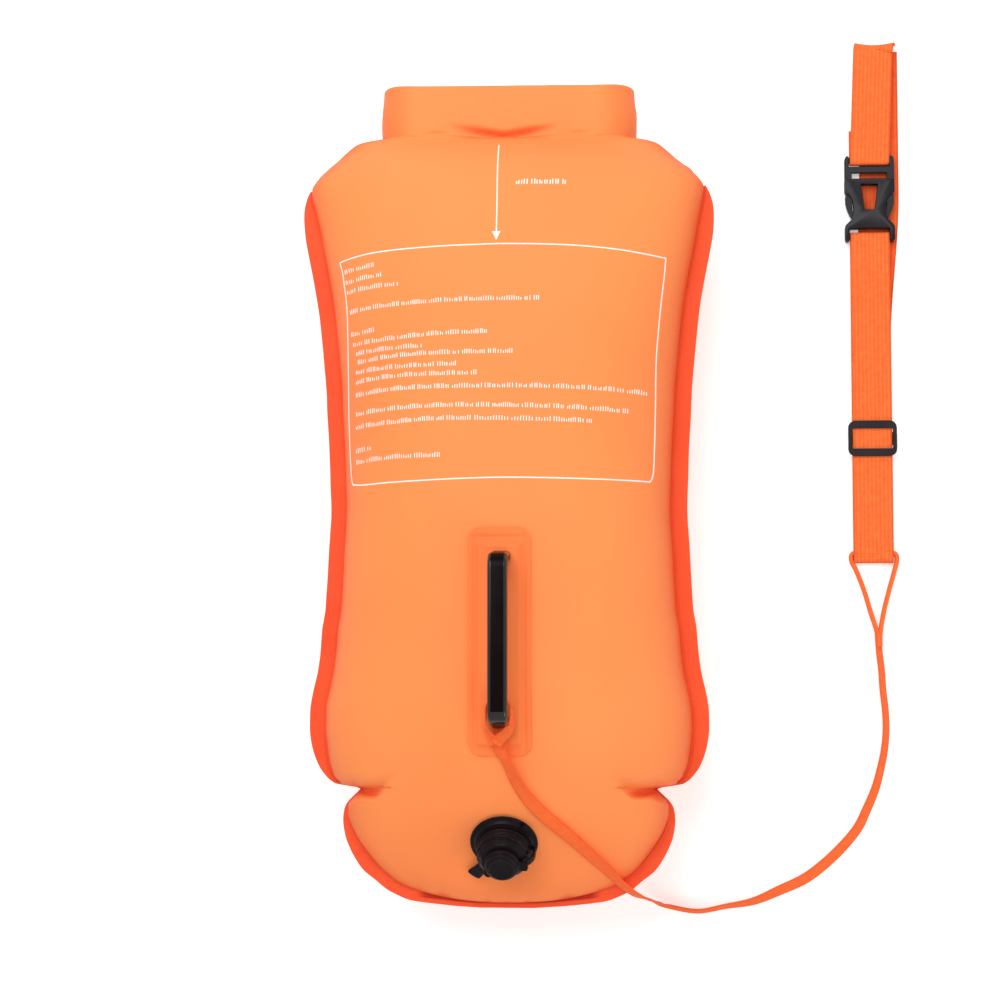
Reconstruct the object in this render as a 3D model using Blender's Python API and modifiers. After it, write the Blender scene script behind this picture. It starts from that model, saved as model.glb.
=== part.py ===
"""Open water swim buoy: a roll-top dry bag between two inflated chambers.

The buoy lies on its back on the ground. +Z points up out of the printed front, +Y runs towards
the roll-top, and the origin is under the middle of the bag. All lengths are in metres.
"""
import math

import bmesh
import bpy
from mathutils import Matrix, Vector

# Clearances and cutting
GAP = 0.0003
OVERRUN = 0.002
WELD_REACH = 0.00001
FLAT_ANGLE = math.radians(0.1)
CORNER_STEPS = 4
ROUND_STEPS = 5
FOLD_STEPS = 8

# Bag: overall size, seam plane and inflated depth of each side
BAG_LENGTH = 0.6270
BAG_WIDTH = 0.316
BAG_BOTTOM_Y = -0.310
CHAMBER_DEPTH = 0.0885
REST_CUT = 0.0035
PANEL_THICK = 0.002
BAND_WIDTH = 0.013
BAND_THICK = 0.0016
BAND_END_SHARE = 0.940
BELLY_POWER = 2.6
CROWN_POWER = 2.0
SECTION_STEPS = 14

# Rolled collar: the roll is bent back on itself, and its ends are buckled behind the bag
COLLAR_HEIGHT = 0.041
COLLAR_WIDTH = 0.197
ROLL_THICK = 0.016
ROLL_ROUND = 0.006
BEND_RADIUS = 0.0235
BEND_STEPS = 8
STRIP_THICK = 0.0020
STRIP_HEIGHT = 0.029
STRIP_INSET = 0.003
NECK_START_SHARE = 0.9596
NECK_STEPS = 4
NECK_COLUMNS = 14

# Carry handle and the patch that holds it
HANDLE_LENGTH = 0.123
HANDLE_WIDTH = 0.0142
HANDLE_THICK = 0.0080
HANDLE_RISE = 0.034
HANDLE_TOP_Y = -0.050
HANDLE_SPLAY = 0.003
HANDLE_CORNER = 0.011
HANDLE_EDGE = 0.0022
FOOT_WIDTH = 0.026
FOOT_LENGTH = 0.017
FOOT_THICK = 0.0020
PATCH_WIDTH = 0.0462
PATCH_LENGTH = 0.1655
PATCH_TOP_Y = -0.030
PATCH_THICK = 0.0012
PATCH_CORNER = 0.009
PLATEAU_WIDTH = 0.030
PLATEAU_INSET = 0.0115
PLATEAU_LOW_INSET = 0.0080
PLATEAU_SLOPE = 0.002

# Inflation valve: profile radii and heights along the valve's own axis
VALVE_SHARE = 0.0870
FLANGE_RADIUS = 0.0250
FLANGE_THICK = 0.0015
STEP_RADIUS = 0.0206
STEP_THICK = 0.0024
NECK_RADIUS = 0.0155
NECK_HEIGHT = 0.0130
SOCKET_RADIUS = 0.0113
SKIRT_RADIUS = 0.0160
SKIRT_DEPTH = 0.0065
SEAT_THICK = 0.0015
BORE_RADIUS = 0.0050
POCKET_CLEARANCE = 0.0005
COLLAR_RING_HEIGHT = 0.0090
FLUTE_DEPTH = 0.0006
FLUTE_COUNT = 12
SPOUT_RADIUS = 0.0085
SPOUT_HEIGHT = 0.0047
CAP_RADIUS = 0.01185
CAP_ROOF = 0.0042
CAP_ROUND = 0.0012
LUG_REACH = 0.0150
LUG_WIDTH = 0.0080
LUG_THICK = 0.0030
DIAPHRAGM_RADIUS = 0.0080
DIAPHRAGM_THICK = 0.0008
TETHER_WIDTH = 0.0036
TETHER_THICK = 0.0016
TETHER_ARM_WIDTH = 0.0050
TETHER_TAB_WIDTH = 0.0085
PULL_TAB_REACH = 0.0340
PULL_TAB_ANGLE = 230
SIDE_TAB_REACH = 0.0265
SIDE_TAB_ANGLE = 40
TURN_STEPS = 24

# Webbing and the side-release buckles
WEB_WIDTH = 0.031
WEB_THICK = 0.0014
BUCKLE_WIDTH = 0.039
BUCKLE_LENGTH = 0.069
BUCKLE_THICK = 0.0090
BUCKLE_EDGE = 0.0010
INSERT_THICK = 0.0048
CAVITY_WIDTH = 0.0310
BAR_WIDTH = 0.0045
BAR_THICK = 0.0035
BAR_INSET = 0.0015
BAR_SLOT = 0.0030
LADDER_BAR = 0.0050
LADDER_SLOT = 0.0045
CROSSBAR_WIDTH = 0.0033
MOUTH_MARGIN = 0.0015
MOUTH_BAND = 0.0105
WINDOW_LENGTH = 0.0225
KEYHOLE_RIM = 0.0019
KEYHOLE_LENGTH = 0.0208
KEYHOLE_WIDTH = 0.0136
KEYHOLE_TAPER_SHARE = 0.62
TAB_THICK = 0.0010
TAB_ROOT = 0.0010
TOP_BUCKLE_SHIFT = 0.006

# Waist belt lying on the ground beside the bag
BELT_X = 0.2805
BELT_TOP_Y = 0.366
BELT_BOTTOM_Y = -0.047
BELT_BUCKLE_Y = 0.2418
BELT_SKEW = 0.008
SKEW_START_Y = 0.130
SKEW_END_Y = 0.250
SLIDER_Y = 0.0508
SLIDER_WIDTH = 0.038
SLIDER_LENGTH = 0.028
SLIDER_THICK = 0.0020
SLIDER_BAR = 0.0060
SLIDER_CORNER = 0.0055
SLIDER_CENTRE_BAR = 0.0050
SLIDER_CENTRE_THICK = 0.0018
SLIDER_POST = 0.0100
SEWN_TAIL = 0.016
PLUG_TAIL = 0.025
RETURN_JOINT = 0.0055

# Leash from the handle to the belt
LEASH_WIDTH = 0.012
LEASH_POINTS = 52
LOOP_POINTS = 40
LEASH_THICK = 0.0015
LOOP_WIDTH = 0.0050
LOOP_THICK = 0.0022
HITCH_THICK = 0.0030
HITCH_HEIGHT = 0.0080

# Worked-out levels
SEAM_Z = CHAMBER_DEPTH - REST_CUT
CHAMBER_BASE = PANEL_THICK / 2 + GAP
COLLAR_BOTTOM = BAG_BOTTOM_Y + BAG_LENGTH - COLLAR_HEIGHT
BODY_TOP = COLLAR_BOTTOM - GAP
BELT_BACK_Z = GAP + WEB_THICK / 2
BELT_RETURN_Z = BELT_BACK_Z + WEB_THICK + GAP
BELT_BAR_Z = BELT_RETURN_Z + WEB_THICK / 2 + GAP + BAR_THICK / 2
BELT_FRONT_Z = 2 * BELT_BAR_Z - BELT_RETURN_Z
BELT_BUCKLE_Z = BELT_BACK_Z + WEB_THICK / 2 + GAP + BUCKLE_THICK / 2
BAR_DROP = BELT_BUCKLE_Z - BELT_BAR_Z
WEB_SLOT_HALF = WEB_WIDTH / 2 + GAP
MOUTH_Y = BUCKLE_LENGTH / 2 - BAR_INSET - BAR_WIDTH - BAR_SLOT - LADDER_BAR - LADDER_SLOT - MOUTH_MARGIN

# Stations along the body, from the bottom edge to the neck: share of the body's length, share of
# the half width, shares of the chamber depth in front and behind, share of the margin's width
BODY_SHARES = (
    (0.0000, 0.127, 0.000, 0.000, 1.00),
    (0.0029, 0.285, 0.000, 0.000, 1.00),
    (0.0092, 0.468, 0.000, 0.000, 1.00),
    (0.0222, 0.579, 0.085, 0.085, 1.00),
    (0.0478, 0.697, 0.275, 0.275, 1.00),
    (0.0735, 0.758, 0.411, 0.411, 1.00),
    (0.1126, 0.794, 0.616, 0.616, 1.00),
    (0.1380, 0.763, 0.705, 0.705, 1.00),
    (0.1508, 0.709, 0.730, 0.730, 1.00),
    (0.1573, 0.822, 0.765, 0.765, 1.00),
    (0.1639, 0.865, 0.800, 0.800, 1.00),
    (0.1766, 0.904, 0.860, 0.860, 1.00),
    (0.2023, 0.943, 0.920, 0.920, 1.00),
    (0.2410, 0.959, 0.965, 0.965, 1.00),
    (0.2798, 0.941, 0.985, 0.985, 1.00),
    (0.3311, 0.908, 0.996, 0.996, 1.00),
    (0.3826, 0.886, 1.000, 1.000, 1.00),
    (0.4599, 0.871, 1.000, 1.000, 1.00),
    (0.5118, 0.861, 1.000, 1.000, 1.00),
    (0.5885, 0.870, 0.995, 0.995, 1.00),
    (0.6660, 0.886, 0.980, 0.980, 1.00),
    (0.7433, 0.913, 0.940, 0.940, 1.00),
    (0.7948, 0.939, 0.890, 0.890, 1.00),
    (0.8461, 0.977, 0.825, 0.810, 1.00),
    (0.8717, 0.992, 0.780, 0.745, 1.00),
    (0.8973, 1.000, 0.725, 0.655, 0.85),
    (0.9195, 0.990, 0.655, 0.540, 0.48),
    (0.9355, 0.964, 0.595, 0.440, 0.10),
    (0.9514, 0.917, 0.520, 0.260, 0.04),
    (0.9727, 0.831, 0.380, 0.000, 0.04),
    (0.9887, 0.766, 0.270, 0.000, 0.04),
    (0.9973, 0.712, 0.180, 0.000, 0.04),
    (1.0000, 0.633, 0.150, 0.000, 0.04),
)

# Windows and prongs of the buckle: shares of its half width and of the window's length
WINDOW_SHARES = (
    (0.81, -0.012), (0.65, 0.06), (0.555, 0.21), (0.545, 0.47), (0.60, 0.74), (0.74, 0.94), (0.87, 1.05), (1.0, 1.17),
)
PRONG_OUTER_SHARES = (
    (0.955, 0.02), (0.985, 0.16), (0.975, 0.35), (0.915, 0.57), (0.80, 0.79), (0.69, 0.94),
)
PRONG_INNER_SHARES = (
    (0.61, 0.88), (0.67, 0.65), (0.705, 0.38), (0.675, 0.16), (0.585, -0.06), (0.49, -0.24),
)
PRONG_ROOT_SHARE = 0.54
PRONG_ROOT_WIDTH = 0.0038
PRONG_NECK_SHARE = 0.745

# Colours: red, green, blue, then roughness
FABRIC_LOOK = (1.0, 0.34, 0.11, 0.55)
BAND_LOOK = (0.90, 0.11, 0.04, 0.60)
WEBBING_LOOK = (0.93, 0.16, 0.05, 0.80)
BLACK_LOOK = (0.03, 0.025, 0.03, 0.30)
BUCKLE_LOOK = (0.05, 0.04, 0.055, 0.45)
PALE_LOOK = (0.80, 0.80, 0.78, 0.50)

# Route of the leash: x, y, z and the strap's roll in degrees, 90 when it lies flat
LEASH_ROUTE = (
    (-0.0010, -0.1822, 0.1765, 90),
    (0.0003, -0.1895, 0.1718, 92),
    (0.0045, -0.1990, 0.1674, 98),
    (0.0132, -0.2182, 0.1547, 105),
    (0.0271, -0.2358, 0.1452, 107),
    (0.0462, -0.2529, 0.1326, 109),
    (0.0652, -0.2711, 0.1157, 107),
    (0.0800, -0.2860, 0.0998, 100),
    (0.0882, -0.2938, 0.0899, 90),
    (0.0970, -0.3003, 0.0838, 90),
    (0.1032, -0.3045, 0.0560, 90),
    (0.1090, -0.3085, 0.0260, 90),
    (0.1180, -0.3130, 0.0080, 90),
    (0.1412, -0.3171, 0.0055, 55),
    (0.1637, -0.3131, 0.0045, 65),
    (0.1846, -0.3092, 0.0045, 65),
    (0.2055, -0.3005, 0.0045, 65),
    (0.2265, -0.2904, 0.0045, 65),
    (0.2474, -0.2734, 0.0045, 65),
    (0.2646, -0.2541, 0.0045, 65),
    (0.2725, -0.2387, 0.0048, 60),
    (0.2792, -0.2232, 0.0052, 55),
    (0.2836, -0.2078, 0.0055, 50),
    (0.2869, -0.1923, 0.0058, 45),
    (0.2883, -0.1768, 0.0058, 45),
    (0.2877, -0.1613, 0.0058, 45),
    (0.2860, -0.1458, 0.0058, 45),
    (0.2850, -0.1303, 0.0058, 45),
    (0.2828, -0.1147, 0.0058, 45),
    (0.2822, -0.1025, 0.0058, 45),
)

# Route of the leash's end loop round the fold of the belt
LOOP_ROUTE = (
    (0.2805, -0.1018, 0.0046, 0),
    (0.2762, -0.0850, 0.0046, 0),
    (0.2722, -0.0678, 0.0046, 0),
    (0.2664, -0.0520, 0.0046, 0),
    (0.2622, -0.0448, 0.0046, 0),
    (0.2640, -0.0395, 0.0046, 0),
    (0.2690, -0.0385, 0.0046, 0),
    (0.2805, -0.0385, 0.0046, 0),
    (0.2920, -0.0385, 0.0046, 0),
    (0.2970, -0.0395, 0.0046, 0),
    (0.2988, -0.0448, 0.0046, 0),
    (0.2957, -0.0520, 0.0046, 0),
    (0.2916, -0.0679, 0.0046, 0),
    (0.2875, -0.0850, 0.0046, 0),
    (0.2838, -0.1018, 0.0046, 0),
)


def clear_scene():
    for item in list(bpy.data.objects):
        bpy.data.objects.remove(item, do_unlink=True)


def new_collection(name):
    collection = bpy.data.collections.new(name)
    bpy.context.scene.collection.children.link(collection)
    return collection


def make_material(name, look):
    material = bpy.data.materials.new(name)
    material.use_nodes = True
    shader = material.node_tree.nodes["Principled BSDF"]
    shader.inputs["Base Color"].default_value = (look[0], look[1], look[2], 1.0)
    shader.inputs["Roughness"].default_value = look[3]
    shader.inputs["Metallic"].default_value = 0.0
    return material


def add_part(name, mesh, look, place=None):
    part = bpy.data.objects.new(name, mesh)
    mesh.materials.clear()
    mesh.materials.append(make_material(name, look))
    PARTS.objects.link(part)
    part.matrix_world = place or Matrix.Identity(4)
    return part


def add_tool(name, mesh, place=None):
    """A cutter, or a shape that a union takes in."""
    tool = bpy.data.objects.new(name, mesh)
    TOOLS.objects.link(tool)
    tool.matrix_world = place or Matrix.Identity(4)
    tool.hide_render = True
    tool.display_type = "WIRE"
    return tool


def combine(part, tool, operation):
    step = part.modifiers.new(operation.lower() + "_" + tool.name, "BOOLEAN")
    step.operation = operation
    step.object = tool


def welded_copy(source, flat=True):
    """Mesh of a curve object, with its loose caps welded on and flat faces made whole."""
    graph = bpy.context.evaluated_depsgraph_get()
    mesh = bpy.data.meshes.new_from_object(source.evaluated_get(graph))
    bpy.data.objects.remove(source, do_unlink=True)
    shape = bmesh.new()
    shape.from_mesh(mesh)
    bmesh.ops.remove_doubles(shape, verts=shape.verts, dist=WELD_REACH)
    bmesh.ops.recalc_face_normals(shape, faces=shape.faces)
    if flat:
        bmesh.ops.dissolve_limit(shape, angle_limit=FLAT_ANGLE, verts=shape.verts, edges=shape.edges)
    shape.to_mesh(mesh)
    shape.free()
    return mesh


def wound(outline, direction):
    """The outline, running anticlockwise for 1 and clockwise for -1."""
    area = sum(a[0] * b[1] - b[0] * a[1] for a, b in zip(outline, outline[1:] + outline[:1]))
    return outline if area * direction > 0 else outline[::-1]


def plate_mesh(outlines, thickness, edge=0.0, edge_steps=0):
    """Flat outline, with holes after the first outline, given a thickness about its own plane."""
    curve = bpy.data.curves.new("outline", "CURVE")
    curve.dimensions = "2D"
    curve.fill_mode = "BOTH"
    curve.extrude = thickness / 2 - edge
    curve.bevel_depth = edge
    curve.bevel_resolution = edge_steps
    curve.offset = -edge
    for index, outline in enumerate(outlines):
        outline = wound(list(outline), -1 if index else 1)
        spline = curve.splines.new("POLY")
        spline.points.add(len(outline) - 1)
        for point, (x, y) in zip(spline.points, outline):
            point.co = (x, y, 0.0, 1.0)
        spline.use_cyclic_u = True
    holder = bpy.data.objects.new("outline", curve)
    TOOLS.objects.link(holder)
    return welded_copy(holder)


def strap_mesh(points, width, thickness, count):
    """Flat strap along a smooth route of x, y, z and roll."""
    curve = bpy.data.curves.new("route", "CURVE")
    curve.dimensions = "3D"
    curve.twist_mode = "Z_UP"
    curve.bevel_depth = thickness / 2
    curve.extrude = width / 2 - thickness / 2
    curve.bevel_resolution = 1
    curve.use_fill_caps = True
    smooth = smooth_route(points, count)
    spline = curve.splines.new("POLY")
    spline.points.add(len(smooth) - 1)
    for point, (x, y, z, roll) in zip(spline.points, smooth):
        point.co = (x, y, z, 1.0)
        point.tilt = math.radians(roll)
    holder = bpy.data.objects.new("route", curve)
    TOOLS.objects.link(holder)
    return welded_copy(holder, flat=False)


def smooth_route(points, count):
    """Points spread evenly by parameter along a Catmull-Rom curve through the route."""
    ends = [points[0]] + list(points) + [points[-1]]
    spans = len(points) - 1
    smooth = []
    for index in range(count):
        along = index / (count - 1) * spans
        span = min(int(along), spans - 1)
        t = along - span
        before, start, end, after = ends[span:span + 4]
        smooth.append(tuple(catmull(a, b, c, d, t) for a, b, c, d in zip(before, start, end, after)))
    return smooth


def catmull(a, b, c, d, t):
    slope_in = (c - a) / 2
    slope_out = (d - b) / 2
    square = t * t
    cube = square * t
    return (2 * cube - 3 * square + 1) * b + (cube - 2 * square + t) * slope_in \
        + (3 * square - 2 * cube) * c + (cube - square) * slope_out


def box_mesh(low, high):
    shape = bmesh.new()
    bmesh.ops.create_cube(shape, size=1.0)
    for vertex in shape.verts:
        for axis in range(3):
            vertex.co[axis] = high[axis] if vertex.co[axis] > 0 else low[axis]
    mesh = bpy.data.meshes.new("box")
    shape.to_mesh(mesh)
    shape.free()
    return mesh


def turned_mesh(profile, closed):
    """Turned shape: the profile of radius and height runs down its outer side."""
    mesh = bpy.data.meshes.new("profile")
    count = len(profile)
    edges = [(index, index + 1) for index in range(count - 1)]
    if closed:
        edges.append((count - 1, 0))
    mesh.from_pydata([(radius, 0.0, height) for radius, height in profile], edges, [])
    return mesh


def spin(part):
    turn = part.modifiers.new("turn", "SCREW")
    turn.axis = "Z"
    turn.steps = TURN_STEPS
    turn.render_steps = TURN_STEPS
    turn.use_merge_vertices = True
    turn.merge_threshold = WELD_REACH
    return part


def loft_mesh(rings):
    """Closed solid through rings of the same number of points, with flat ends."""
    mesh = bpy.data.meshes.new("loft")
    count = len(rings[0])
    points = [point for ring in rings for point in ring]
    faces = [tuple(range(count))[::-1]]
    for row in range(len(rings) - 1):
        for column in range(count):
            after = (column + 1) % count
            here = row * count
            there = here + count
            faces.append((here + column, here + after, there + after, there + column))
    faces.append(tuple(range((len(rings) - 1) * count, len(rings) * count)))
    mesh.from_pydata(points, [], faces)
    shape = bmesh.new()
    shape.from_mesh(mesh)
    bmesh.ops.recalc_face_normals(shape, faces=shape.faces)
    shape.to_mesh(mesh)
    shape.free()
    return mesh


def grid_mesh(rows):
    """Open sheet through rows of the same number of points."""
    shape = bmesh.new()
    across = len(rows[0])
    bmesh.ops.create_grid(shape, x_segments=across - 1, y_segments=len(rows) - 1, size=1.0)
    shape.verts.ensure_lookup_table()
    places = [point for row in rows for point in row]
    order = sorted(shape.verts, key=lambda v: (round(v.co.y * len(rows)), v.co.x))
    for vertex, place in zip(order, places):
        vertex.co = place
    mesh = bpy.data.meshes.new("sheet")
    shape.to_mesh(mesh)
    shape.free()
    return mesh


def arc(centre_x, centre_y, radius, start, end, steps):
    """Points of an arc from one angle to the other, in degrees."""
    points = []
    for index in range(steps + 1):
        angle = math.radians(start + (end - start) * index / steps)
        points.append((centre_x + radius * math.cos(angle), centre_y + radius * math.sin(angle)))
    return points


def rounded_box(half_x, half_y, corner):
    points = []
    for side_x, side_y, start in ((1, 1, 0), (-1, 1, 90), (-1, -1, 180), (1, -1, 270)):
        centre_x = side_x * (half_x - corner)
        centre_y = side_y * (half_y - corner)
        points += arc(centre_x, centre_y, corner, start, start + 90, CORNER_STEPS)
    return points


def mirrored(half):
    """Whole outline from its half at +X."""
    return list(half) + [(-x, y) for x, y in reversed(half)]


def ribbon_outline(centreline, thickness):
    """Outline of a strip of even thickness along a centreline in its own plane."""
    left = []
    right = []
    last = len(centreline) - 1
    for index, point in enumerate(centreline):
        before = Vector(centreline[max(index - 1, 0)])
        after = Vector(centreline[min(index + 1, last)])
        along = (after - before).normalized()
        across = Vector((-along.y, along.x)) * thickness / 2
        left.append(tuple(Vector(point) + across))
        right.append(tuple(Vector(point) - across))
    return left + right[::-1]


# Bag

def body_y(share):
    return BAG_BOTTOM_Y + share * (BODY_TOP - BAG_BOTTOM_Y)


def station(y, column):
    """Share read from the body stations at a place along the bag."""
    share = (y - BAG_BOTTOM_Y) / (BODY_TOP - BAG_BOTTOM_Y)
    for low, high in zip(BODY_SHARES, BODY_SHARES[1:]):
        if low[0] <= share <= high[0]:
            part = (share - low[0]) / (high[0] - low[0])
            return low[column] + part * (high[column] - low[column])
    return BODY_SHARES[-1][column]


def half_width(y):
    return station(y, 1) * BAG_WIDTH / 2


def margin(y):
    """Width of the welded margin, which runs out at the shoulders."""
    return station(y, 4) * BAND_WIDTH


def chamber_half_width(y):
    return half_width(y) - margin(y)


def front_height(x, y):
    """Height of the front chamber's skin above the ground."""
    across = min(abs(x) / chamber_half_width(y), 1.0)
    crown = (1 - across ** BELLY_POWER) ** (1 / CROWN_POWER)
    return SEAM_Z + CHAMBER_BASE + (CHAMBER_DEPTH - CHAMBER_BASE) * station(y, 2) * crown


def chamber_mesh(column, side):
    rings = []
    for share in BODY_SHARES:
        if share[column] == 0:
            continue
        y = body_y(share[0])
        half = chamber_half_width(y)
        depth = (CHAMBER_DEPTH - CHAMBER_BASE) * share[column]
        ring = []
        for index in range(SECTION_STEPS + 1):
            angle = math.pi * index / SECTION_STEPS
            x = half * math.copysign(abs(math.cos(angle)) ** (2 / BELLY_POWER), math.cos(angle))
            rise = depth * abs(math.sin(angle)) ** (2 / CROWN_POWER)
            ring.append((x, y, SEAM_Z + side * (CHAMBER_BASE + rise)))
        rings.append(ring)
    return loft_mesh(rings)


def build_chambers():
    front = add_part("front_chamber", chamber_mesh(2, 1), FABRIC_LOOK)
    back = add_part("back_chamber", chamber_mesh(3, -1), FABRIC_LOOK)
    below = box_mesh((-BAG_WIDTH, -BAG_LENGTH, -CHAMBER_DEPTH), (BAG_WIDTH, BAG_LENGTH, 0.0))
    ground = add_tool("ground", below)
    combine(back, ground, "DIFFERENCE")
    for chamber, side in ((front, "front"), (back, "back")):
        radius = SKIRT_RADIUS + POCKET_CLEARANCE
        depth = SKIRT_DEPTH + DIAPHRAGM_THICK + GAP * 2
        profile = [(0.0, OVERRUN), (radius, OVERRUN), (radius, -depth), (0.0, -depth)]
        pocket = spin(add_tool(side + "_pocket", turned_mesh(profile, False), valve_place(side)))
        combine(chamber, pocket, "DIFFERENCE")


def build_seam_band():
    """Welded margin round the sides and the bottom, open at the neck."""
    outer = []
    inner = []
    for share in BODY_SHARES:
        y = body_y(share[0])
        if share[0] > BAND_END_SHARE:
            break
        outer.append((half_width(y), y))
        if share[2] > 0:
            inner.append((chamber_half_width(y) + GAP, y))
    outline = outer + inner[::-1]
    outline += [(-x, y) for x, y in inner]
    outline += [(-x, y) for x, y in outer[::-1]]
    mesh = plate_mesh([outline], BAND_THICK)
    add_part("seam_band", mesh, BAND_LOOK, Matrix.Translation((0, 0, SEAM_Z)))


def roll_place(share):
    """Point on the roll's centreline, by its share of the way from one end to the other."""
    straight = COLLAR_WIDTH / 2 - ROLL_THICK / 2 - BEND_RADIUS
    bend = math.pi * BEND_RADIUS
    travel = (share - 0.5) * 2 * (straight + bend)
    side = math.copysign(1.0, travel)
    reach = abs(travel)
    if reach <= straight:
        return travel, SEAM_Z
    angle = (reach - straight) / BEND_RADIUS
    x = straight + BEND_RADIUS * math.sin(angle)
    return side * x, SEAM_Z - BEND_RADIUS * (1 - math.cos(angle))


def build_dry_pouch():
    """Inner bag: flat between the chambers, then gathered back to the ends of the roll."""
    rows = []
    neck_start = body_y(NECK_START_SHARE)
    neck_end = BODY_TOP - PANEL_THICK
    levels = [body_y(share[0]) for share in BODY_SHARES if share[2] > 0]
    levels = [level for level in levels if level < neck_start]
    levels += [neck_start + (neck_end - neck_start) * index / NECK_STEPS for index in range(NECK_STEPS + 1)]
    levels.append(BODY_TOP)
    for y in levels:
        blend = min(max((y - neck_start) / (neck_end - neck_start), 0.0), 1.0)
        blend = blend * blend * (3 - 2 * blend)
        half = chamber_half_width(y) - GAP
        row = []
        for index in range(NECK_COLUMNS + 1):
            share = index / NECK_COLUMNS
            rolled_x, rolled_z = roll_place(share)
            flat_x = (share - 0.5) * 2 * half
            row.append((flat_x + blend * (rolled_x - flat_x), y, SEAM_Z + blend * (rolled_z - SEAM_Z)))
        rows.append(row)
    pouch = add_part("dry_pouch", grid_mesh(rows), FABRIC_LOOK)
    wall = pouch.modifiers.new("wall", "SOLIDIFY")
    wall.thickness = PANEL_THICK
    wall.offset = 0.0


def bent_outline(thickness, end_inset):
    """Strip bent back through half a turn at both ends, seen along the roll's height."""
    straight = COLLAR_WIDTH / 2 - ROLL_THICK / 2 - BEND_RADIUS
    low = SEAM_Z - BEND_RADIUS
    outer = BEND_RADIUS + thickness / 2
    inner = BEND_RADIUS - thickness / 2
    half = arc(straight, low, outer, -90, 90, BEND_STEPS)
    hollow = arc(straight, low, inner, -90, 90, BEND_STEPS)
    for line in (half, hollow):
        first = Vector(line[0])
        ahead = (Vector(line[1]) - first).normalized()
        line[0] = tuple(first + ahead * end_inset)
    return half + [(-x, z) for x, z in half[::-1]] + [(-x, z) for x, z in hollow] + hollow[::-1]


def upright(y):
    """Place of an outline drawn in X and Z, standing across the bag at y."""
    return Matrix.Translation((0, y, 0)) @ Matrix.Rotation(math.radians(90), 4, "X")


def build_roll():
    middle = COLLAR_BOTTOM + COLLAR_HEIGHT / 2
    mesh = plate_mesh([bent_outline(ROLL_THICK, 0.0)], COLLAR_HEIGHT, ROLL_ROUND, 2)
    roll = add_part("roll_top", mesh, FABRIC_LOOK, upright(middle))
    slot_height = max(WEB_WIDTH, STRIP_HEIGHT) + 2 * GAP
    slot = plate_mesh([bent_outline(STRIP_THICK + 2 * GAP, -OVERRUN)], slot_height)
    combine(roll, add_tool("roll_slot", slot, upright(middle)), "DIFFERENCE")
    strip = plate_mesh([bent_outline(STRIP_THICK, STRIP_INSET + GAP)], STRIP_HEIGHT)
    add_part("stiffener_strip", strip, PALE_LOOK, upright(middle))


# Handle and patch

def skin_levels(y_low, y_high):
    """Places along the bag where its crown changes slope, with both ends."""
    inside = [body_y(share[0]) for share in BODY_SHARES]
    return [y_low] + [y for y in inside if y_low < y < y_high] + [y_high]


def along_skin(y_low, y_high, lift):
    """Points of y and z along the crown of the front chamber, raised by the lift."""
    return [(y, front_height(0.0, y) + lift) for y in skin_levels(y_low, y_high)]


def sideways():
    """Place of an outline drawn in Y and Z, given its thickness along X."""
    return Matrix(((0, 0, 1, 0), (1, 0, 0, 0), (0, 1, 0, 0), (0, 0, 0, 1)))


def leg_centres():
    shift = HANDLE_SPLAY - HANDLE_THICK / 2
    return HANDLE_TOP_Y + shift, HANDLE_TOP_Y - HANDLE_LENGTH - shift


def build_handle():
    """One moulding: a flat foot under the patch at each end, two legs and the grip."""
    near = HANDLE_TOP_Y
    far = HANDLE_TOP_Y - HANDLE_LENGTH
    top = front_height(0.0, near) + FOOT_THICK + 3 * GAP + PATCH_THICK + HANDLE_RISE
    corner = HANDLE_CORNER
    sink = GAP + FOOT_THICK / 2
    near_foot = front_height(0.0, near) + sink
    far_foot = front_height(0.0, far) + sink
    outer = arc(near - corner, top - corner, corner, 0, 90, CORNER_STEPS)
    outer += arc(far + corner, top - corner, corner, 90, 180, CORNER_STEPS)
    inside = corner - HANDLE_THICK / 2
    low = top - HANDLE_THICK
    inner_far = far + HANDLE_THICK
    inner_near = near - HANDLE_THICK
    inner = arc(inner_far + inside, low - inside, inside, 180, 90, CORNER_STEPS)
    inner += arc(inner_near - inside, low - inside, inside, 90, 0, CORNER_STEPS)
    outline = [(near + HANDLE_SPLAY, near_foot)] + outer + [(far - HANDLE_SPLAY, far_foot)]
    outline += [(inner_far - HANDLE_SPLAY, far_foot)] + inner + [(inner_near + HANDLE_SPLAY, near_foot)]
    mesh = plate_mesh([outline], HANDLE_WIDTH, HANDLE_EDGE, 2)
    handle = add_part("carry_handle", mesh, BLACK_LOOK, sideways())
    for name, centre in zip(("near_foot", "far_foot"), leg_centres()):
        start = centre - FOOT_LENGTH / 2
        end = centre + FOOT_LENGTH / 2
        foot = along_skin(start, end, GAP) + along_skin(start, end, GAP + FOOT_THICK)[::-1]
        combine(handle, add_tool(name, plate_mesh([foot], FOOT_WIDTH), sideways()), "UNION")


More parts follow.
